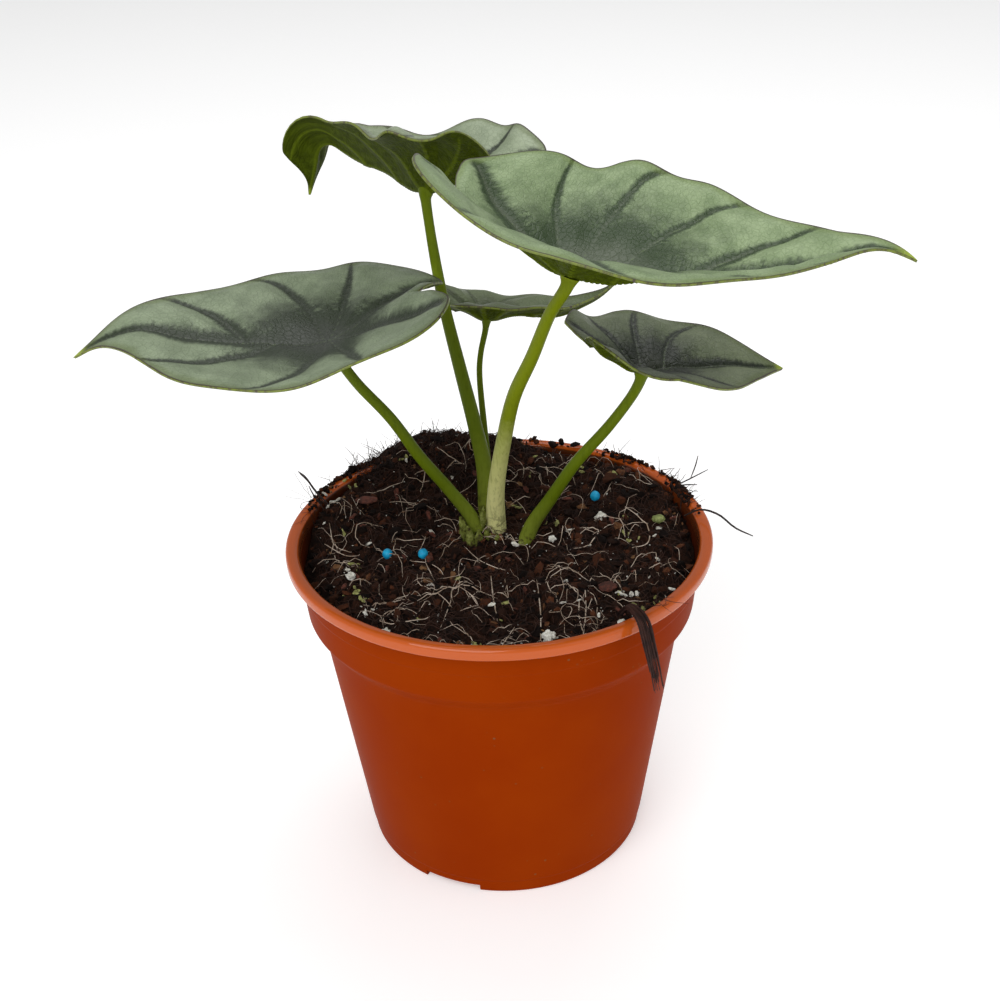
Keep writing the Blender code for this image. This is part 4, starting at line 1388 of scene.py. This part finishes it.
@dataclass
class TopDressing:
    """The bigger loose things that lie on the mix."""

    mix: PottingMix
    kinds: tuple[Loose, ...] = (
        Loose("fertiliser_prill", 3, "prill", "prill_coat", (0.01, 0.42, 0.72), (0.005, 0.26, 0.5),
              0.45, 500.0, 0.06),
        Loose("perlite_grain", 5, "perlite", "perlite_foam", (0.82, 0.8, 0.74), (0.5, 0.48, 0.42),
              0.95, 1200.0, 0.55, 0.8),
        Loose("bark_chip", 2, "bark", "bark_chip_skin", (0.12, 0.035, 0.022), (0.045, 0.016, 0.012),
              0.85, 700.0, 0.25),
        Loose("green_pod", 0, "pod", "pod_skin", (0.3, 0.35, 0.12), (0.12, 0.14, 0.04),
              0.7, 600.0, 0.2, seed=17.0),
    )

    def build(self) -> None:
        """Makes the prills, perlite, bark chips and pod."""
        for kind in self.kinds:
            paint = self.mix.finish.grain(kind.paint, kind.light, kind.dark, kind.roughness, kind.fine)
            if not kind.count:
                self._lump(kind, kind.node, f"{kind.node}_piece", paint, kind.seed)
            for index in range(kind.count):
                node = f"{kind.node}_{index + 1}"
                self._lump(kind, node, f"{node}_fine", paint, kind.seed + index)

    def _lump(self, kind: Loose, node: str, name: str, paint: Paint, seed: float) -> None:
        """A grain in the place of one of the frame's.

        Args:
            kind: what it is.
            node: the frame's node that it stands for.
            name: the piece's name.
            paint: its material.
            seed: makes each grain different.
        """
        low, high = (np.array(corner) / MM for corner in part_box(node))
        middle, half = (low + high) / 2, (high - low) / 2 * kind.fill
        x, y = float(middle[0]), float(middle[1])
        sink = self.mix.rough_height(x, y) - low[2] + 0.1
        shape = bmesh.new()
        bmesh.ops.create_icosphere(shape, subdivisions=4, radius=1)
        offset = Vector((seed, 3.1, 0))
        for point in shape.verts:
            rough = noise.noise(point.co * 1.7 + offset) + 0.4 * noise.noise(point.co * 5 + offset)
            point.co *= 1 + kind.unevenness * rough
        bmesh.ops.scale(shape, vec=tuple(half), verts=shape.verts)
        bmesh.ops.translate(shape, vec=(x, y, float(middle[2]) + max(sink, 0.0)), verts=shape.verts)
        finished(name, to_mesh(name, shape), [paint], [node])


@dataclass
class OverTheRim:
    """The bark strip that hangs over the rim, and the dark dry roots that stick out."""

    mix: PottingMix
    strip_route: tuple[Point, ...] = (
        (30.6, -40.5, 93.6), (32.4, -44.6, 98.6), (33.9, -48.2, 100.0), (35.8, -51.6, 98.6),
        (37.2, -53.3, 93.0), (38.6, -52.2, 86.0), (40.4, -49.4, 76.0))
    strip_width: float = 2.9
    strip_strands: int = 34
    strip_steps: int = 26
    right_roots: tuple[tuple[Point, ...], ...] = (
        ((53, 6, 96.5), (57.5, 4.5, 99.2), (62, 0.5, 99.6), (66, -4, 97.8), (70.3, -8.4, 97.5)),
        ((45.5, 25, 92), (52, 25.5, 95.5), (57.2, 25.5, 98.2), (62.4, 26, 100.8)),
        ((52, 25.5, 95.5), (55, 22, 98), (58.5, 20, 99)),
        ((57.2, 25.5, 98.2), (59, 29, 100.5), (60, 31, 103)))
    left_roots: tuple[tuple[Point, ...], ...] = (
        ((-49.5, 17.5, 97.5), (-53.5, 22, 99.7), (-57, 29, 100.6), (-60.2, 37, 98.5)),
        ((-50, 20, 95), (-53.6, 22, 99.5), (-55.5, 22, 103), (-57.6, 22, 105.5)),
        ((-51, 18, 95.5), (-54, 20, 99.6), (-55.2, 21, 102)))
    dice: random.Random = field(default_factory=lambda: random.Random(5))

    def build(self) -> None:
        """Makes the strip and the two groups of roots."""
        finish = self.mix.finish
        dark = [finish.fibre("bark_fibre_dark", (0.045, 0.015, 0.01), (0.013, 0.005, 0.0035)),
                finish.fibre("bark_fibre_red", (0.16, 0.04, 0.02), (0.045, 0.015, 0.01))]
        strip = strands_mesh("bark_fibres", [self._strip_strand(n) for n in range(self.strip_strands)], 1)
        finished("bark_fibres", strip, dark, ["bark_strip"])
        roots = [finish.fibre("root_black", (0.03, 0.016, 0.012), (0.008, 0.005, 0.004)),
                 finish.fibre("root_grey", (0.2, 0.14, 0.1), (0.06, 0.04, 0.03))]
        for side, routes in (("left", self.left_roots), ("right", self.right_roots)):
            grey = side == "left"
            strands = [tapered(smooth_route(route, 14).tolist(), 0.2 if number else 0.3,
                               int(grey and number > 0)) for number, route in enumerate(routes)]
            name = f"dry_roots_{side}"
            finished(name, strands_mesh(name, strands, 1), roots[:1 + grey], [f"stray_root_{side}"])

    def _strip_strand(self, number: int) -> Strand:
        """One of the strip's fibres, side by side in two layers, frayed at the end."""
        line = smooth_route(self.strip_route, self.strip_steps)
        along = np.gradient(line, axis=0)
        along /= np.linalg.norm(along, axis=1)[:, None]
        outward = line * (1, 1, 0)
        sideways = np.cross(outward / np.linalg.norm(outward, axis=1)[:, None], (0, 0, 1))
        above = np.cross(along, sideways)
        last = self.dice.randint(self.strip_steps - 4, self.strip_steps)
        share = np.linspace(0, 1, self.strip_steps)[:, None]
        lane = (number + 0.5) / self.strip_strands * 2 - 1 + self.dice.uniform(-0.06, 0.06)
        width = self.strip_width / 2 * (1.05 - 0.5 * np.exp(-((share - 0.1) / 0.2) ** 2) + 0.25 * share**4)
        weave = 0.12 * np.sin(share * self.dice.uniform(6, 16) + self.dice.uniform(0, 6))
        layer = self.dice.uniform(-0.5, 0.5)
        points = line + sideways * (lane * width + weave) + above * (layer + 0.5 * weave)
        finish = 1 if number < 2 or self.dice.random() < 0.4 else 0
        return tapered(points[:last].tolist(), self.dice.uniform(0.13, 0.25), finish)


@dataclass
class Crown:
    """The corm under the mix, and the torn old sheaths round the stalks' feet."""

    mix: PottingMix
    corm_place: tuple[float, float] = (-0.5, 14.0)
    corm_profile: tuple[tuple[float, float], ...] = (
        (0.0, 83.5), (10.5, 83.5), (12.4, 80.0), (11.6, 73.0), (7.0, 64.0), (0.0, 61.0))
    scales: tuple[tuple[tuple[Point, ...], float], ...] = (
        (((-9.4, 6.8, 90), (-9.8, 6.0, 94), (-10.8, 5.2, 98.5)), 1.5),
        (((-7.4, 5.0, 89), (-8.2, 3.6, 93), (-8.8, 2.8, 97)), 1.5),
        (((-5.6, 4.4, 88.5), (-5.8, 3.2, 92), (-5.4, 3.0, 95.5)), 1.5),
        (((-3.2, 6.0, 89), (-3.4, 4.8, 92), (-3.6, 4.6, 94.5)), 1.2),
        (((-5.4, 8.0, 91), (-4.6, 7.0, 97), (-4.2, 6.6, 101)), 0.9),
        (((-1.0, 6.0, 89), (-0.6, 4.6, 91.5), (0.2, 4.2, 93)), 1.1),
        (((6.6, 4.2, 89), (6.4, 2.6, 91), (6.0, 2.2, 92.6)), 1.0))
    scale_steps: int = 18

    def build(self) -> None:
        """Makes the corm and the scales."""
        finish = self.mix.finish
        shape = turned(self.corm_profile, 64)
        for point in shape.verts:
            point.co.x += self.corm_place[0]
            point.co.y += self.corm_place[1]
        skin = finish.grain("corm_skin", (0.16, 0.1, 0.05), (0.06, 0.035, 0.02), 0.85, 300.0)
        finished("corm_body", to_mesh("corm_body", shape), [skin], ["corm"])
        thinning = 1.15 - 0.9 * np.linspace(0, 1, self.scale_steps) ** 2
        strands = [Strand(smooth_route(route, self.scale_steps).tolist(), (radius * thinning).tolist())
                   for route, radius in self.scales]
        mesh = strands_mesh("sheath_scales", strands, 4)
        for point in mesh.vertices:
            place = point.co / MM
            tears = 0.5 * noise.noise_vector(place * 0.55) + 0.35 * noise.noise_vector(place * 1.7)
            point.co += MM * tears
        sheath = Paint("sheath_torn", roughness=0.7, Specular_IOR_Level=0.2)
        place = sheath.place()
        patch = sheath.noise(place, 420.0, 4.0, 0.7)
        fine = sheath.noise(place, 1400.0, 3.0)
        skin = sheath.ramp(patch * 0.7 + fine * 0.3, (0.38, (0.03, 0.018, 0.007)),
                           (0.5, (0.14, 0.16, 0.025)), (0.7, (0.33, 0.36, 0.11)))
        sheath.feed("Base Color", skin)
        sheath.bump(patch + fine * 0.5, 0.4)
        finished("sheath_scales", mesh, [sheath], ["sheath_remnant"])


# ---------------------------------------------------------------------------------------- the plant

LEFT = Blade(
    "left", (-43.0, -1.0, 156.4), 184, -10.5, 16, 68, 33, 27, 39.7, cup=(21.5, -16.5), curl=(-24, -1.5),
    arch=(-28, -41), twist=(-2.7, -7.5), droop=63, droop_span=(0.59, 1.0), lobe_lift=(-8, -1.3),
    wave=(0.6, -0.75), wave_phase=(-0.27, 0.03), waves=3.0, lobe_width=0.48, taper=1.05, tip_width=0.08,
    laterals=(((0.02, 0.36), (0.33, 0.7)), ((0.0, 0.31), (0.21, 0.7))), basal=(-0.3, -0.3))
TALL = Blade(
    "tall", (-17.2, 34.0, 185.2), 149, 0.5, 8, 48, 29.5, 22, 32.5, cup=(18.7, 46), curl=(-39, -0.6),
    arch=(-31, -32.5), twist=(6, 2.5), droop=106, droop_span=(0.66, 0.76), lobe_lift=(-8.5, 1.1),
    wave=(2.2, 1.8), wave_phase=(0.11, 0.62), waves=2.94, lobe_width=0.62, shoulder=0.8, taper=0.98,
    tip_width=0.07, dimple=3.0, basal=(-0.53, -0.53),
    finish=BladeFinish(silver=(0.22, 0.27, 0.17), pale=(0.34, 0.4, 0.27)))
FRONT = Blade(
    "front", (19.2, -25.0, 181.0), -15.5, -12.1, -31, 81.7, 44.7, 36, 43.2, cup=(-3.7, 38.8),
    curl=(15.5, -59), arch=(-38, -41.5), twist=(0, 9.2), droop=54.5, droop_span=(0.82, 1.0),
    lobe_lift=(0.2, -1.4), wave=(0.4, 1.3), wave_phase=(0.0, 0.07), waves=3.5, wave_stretch=1.45,
    lobe_width=0.39, shoulder=1.13, taper=1.18, tip_width=0.12, dimple=3.0,
    laterals=(((0.0, 0.24), (0.12, 0.56), (0.36, 0.78)),) * 2, basal=(-0.5, -0.5), centre_reach=0.66,
    # brighter, greener colours than the other blades: partly the blade's own greener tone, partly painted
    # light, since this top blade is the most lit
    finish=BladeFinish(silver=(0.185, 0.26, 0.12), pale=(0.31, 0.4, 0.215), dark=(0.022, 0.046, 0.01),
                       centre=(0.085, 0.105, 0.065), line=(0.12, 0.18, 0.06), border=(0.14, 0.2, 0.04)))
BACK = Blade(
    "back", (-1.75, 43.0, 143.6), 9, -8, -12.5, 43.2, 13, 9.7, 15.8, cup=(26, 28), curl=(6, 10),
    arch=(-4, -4), twist=(-6, 2.4), droop=-42, droop_span=(0.3, 1.0), lobe_lift=(0.5, 2),
    wave=(-0.5, 0.6), wave_phase=(0.06, 0.3), waves=3.0, laterals=(((0.05, 0.4), (0.3, 0.7)),) * 2,
    finish=BladeFinish(silver=(0.1, 0.13, 0.06), pale=(0.16, 0.2, 0.1), dark=(0.05, 0.068, 0.022),
                       centre=(0.06, 0.075, 0.03)))
RIGHT = Blade(
    "right", (39.0, -6.0, 147.3), 12.5, -10.5, -10, 39.8, 23, 17, 25.4, cup=(2, 23), curl=(-5, -12.5),
    arch=(-36.5, -6), twist=(-2, 18), droop=5.5, droop_span=(0.5, 1.0), lobe_lift=(1.6, -3),
    wave=(0.25, 1.4), wave_phase=(0.08, 0.18), waves=2.5, lobe_width=0.46, taper=1.06, tip_width=0.13,
    laterals=(((0.0, 0.14), (0.15, 0.52)),) * 2, basal=(-0.55, -0.55),
    # darker colours than the other blades: painted shade, since this blade lies in the shadow of the front
    # blade
    finish=BladeFinish(silver=(0.12, 0.15, 0.08), pale=(0.19, 0.225, 0.13), dark=(0.011, 0.018, 0.007),
                       centre=(0.024, 0.031, 0.016)))

PETIOLES = (
    Petiole(LEFT, ((-5.5, 8.5, 84), (-7.2, 7.4, 96), (-13.4, 5.7, 107), (-21.2, 3.7, 119), (-28.4, 1.6, 132),
                   (-36.5, -0.5, 143.5)), (1.9, 1.35), 0.25),
    Petiole(TALL, ((-3, 18, 84), (-3.1, 18.8, 94), (-3.8, 21, 107), (-6.2, 23, 120), (-9.6, 25.6, 135.5),
                   (-13.2, 28.5, 152.5), (-15.7, 31.2, 168.6)), (2.55, 1.25), 0.25),
    Petiole(FRONT, ((-0.7, 12.8, 84), (-0.8, 9.5, 96), (-0.2, 5, 109), (2, -1, 125), (5, -7.8, 141.5),
                    (9.9, -13.4, 155.2), (14.1, -19.4, 168.6)), (2.6, 1.45), 0.3,
            # pale foot: the stalk's own paler base, made brighter still as painted light where the blade
            # above shades it
            PetioleFinish(foot=(0.8, 0.78, 0.34), middle=(0.17, 0.21, 0.006), top=(0.15, 0.19, 0.003),
                          pale_share=(0.12, 0.5))),
    Petiole(BACK, ((-2.2, 23.2, 84), (-2.5, 27, 97), (-2.8, 30, 105.7), (-3.5, 33, 115), (-4.3, 37, 127.6),
                   (-3.8, 39.8, 134)), (1.1, 0.8), 0.2),
    Petiole(RIGHT, ((6.5, 5, 84), (9.0, 3.9, 95), (15.0, 1.8, 106), (21.8, -0.6, 118), (30.0, -2.6, 129),
                    (35.6, -4.6, 138)), (2.0, 1.3), 0.25),
)


# ------------------------------------------------------------------------------------------ studio


@dataclass(frozen=True)
class Lamp:
    """A square soft light. Lengths are metres."""

    name: str
    place: Point
    size: float
    power: float


@dataclass(frozen=True)
class Studio:
    """A pale floor, soft light and the camera. Lengths here are metres."""

    camera: Point = (0.0006, -0.37244, 0.30788)
    tilt: float = 28.4  # looking down
    roll: float = -1.71
    lens: float = 54.59
    nearest: float = 0.01
    lit: Point = (0, 0, 0.12)  # what the lamps face
    lamps: tuple[Lamp, ...] = (
        Lamp("key", (-0.45, -0.95, 1.0), 1.0, 10.5),
        Lamp("fill", (0.9, -0.5, 0.7), 1.1, 2.0),
        Lamp("top", (0.1, 0.5, 1.3), 0.9, 5.5),
    )
    sky: float = 0.45  # strength of the even white light from all round
    floor_reach: float = 6.0
    floor_white: float = 0.9
    floor_glow: float = 0.3

    def build(self) -> None:
        """Sets up the floor, the lights and the camera."""
        self._floor()
        for lamp in self.lamps:
            self._light(lamp)
        world = bpy.data.worlds.new("studio")
        bpy.context.scene.world = world
        world.use_nodes = True
        background = world.node_tree.nodes["Background"]
        background.inputs["Color"].default_value = (1.0, 1.0, 1.0, 1.0)
        background.inputs["Strength"].default_value = self.sky
        bpy.context.scene.view_settings.view_transform = "Standard"
        self._camera()

    def _floor(self) -> None:
        """A wide pale floor."""
        shape = bmesh.new()
        bmesh.ops.create_grid(shape, x_segments=1, y_segments=1, size=self.floor_reach)
        mesh = bpy.data.meshes.new("floor")
        shape.to_mesh(mesh)
        shape.free()
        white = Paint("floor_white", (self.floor_white,) * 3, 0.8, Emission_Color=(1.0, 1.0, 1.0, 1.0),
                      Emission_Strength=self.floor_glow)
        mesh.materials.append(white.material)
        floor = bpy.data.objects.new("floor", mesh)
        bpy.context.scene.collection.objects.link(floor)

    def _light(self, lamp: Lamp) -> None:
        """Hangs one lamp, facing the plant."""
        data = bpy.data.lights.new(lamp.name, "AREA")
        data.size = lamp.size
        data.energy = lamp.power
        light = bpy.data.objects.new(lamp.name, data)
        light.location = lamp.place
        light.rotation_euler = (Vector(self.lit) - Vector(lamp.place)).to_track_quat("-Z", "Y").to_euler()
        bpy.context.scene.collection.objects.link(light)

    def _camera(self) -> None:
        """The camera, level with its tilt and a slight roll."""
        down, roll = math.radians(self.tilt), math.radians(self.roll)
        ahead = Vector((0, math.cos(down), -math.sin(down)))
        right = Vector((1, 0, 0))
        up = right.cross(ahead)
        across = math.cos(roll) * right + math.sin(roll) * up
        upward = -math.sin(roll) * right + math.cos(roll) * up
        data = bpy.data.cameras.new("camera")
        data.lens = self.lens
        data.clip_start = self.nearest
        camera = bpy.data.objects.new("camera", data)
        turn = Matrix((across, upward, -ahead)).transposed().to_4x4()
        camera.matrix_world = Matrix.Translation(self.camera) @ turn
        bpy.context.scene.collection.objects.link(camera)
        bpy.context.scene.camera = camera


def main() -> None:
    """Builds every piece of the potted plant, then the studio."""
    logging.basicConfig(level=logging.INFO, format="%(name)s: %(message)s")
    noise.seed_set(NOISE_SEED)
    pot = Pot()
    pot.build()
    mix = PottingMix(pot)
    mix.build()
    TopDressing(mix).build()
    OverTheRim(mix).build()
    Crown(mix).build()
    for petiole in PETIOLES:
        petiole.blade.build()
        petiole.build()
    Studio().build()


if __name__ == "__main__":
    main()
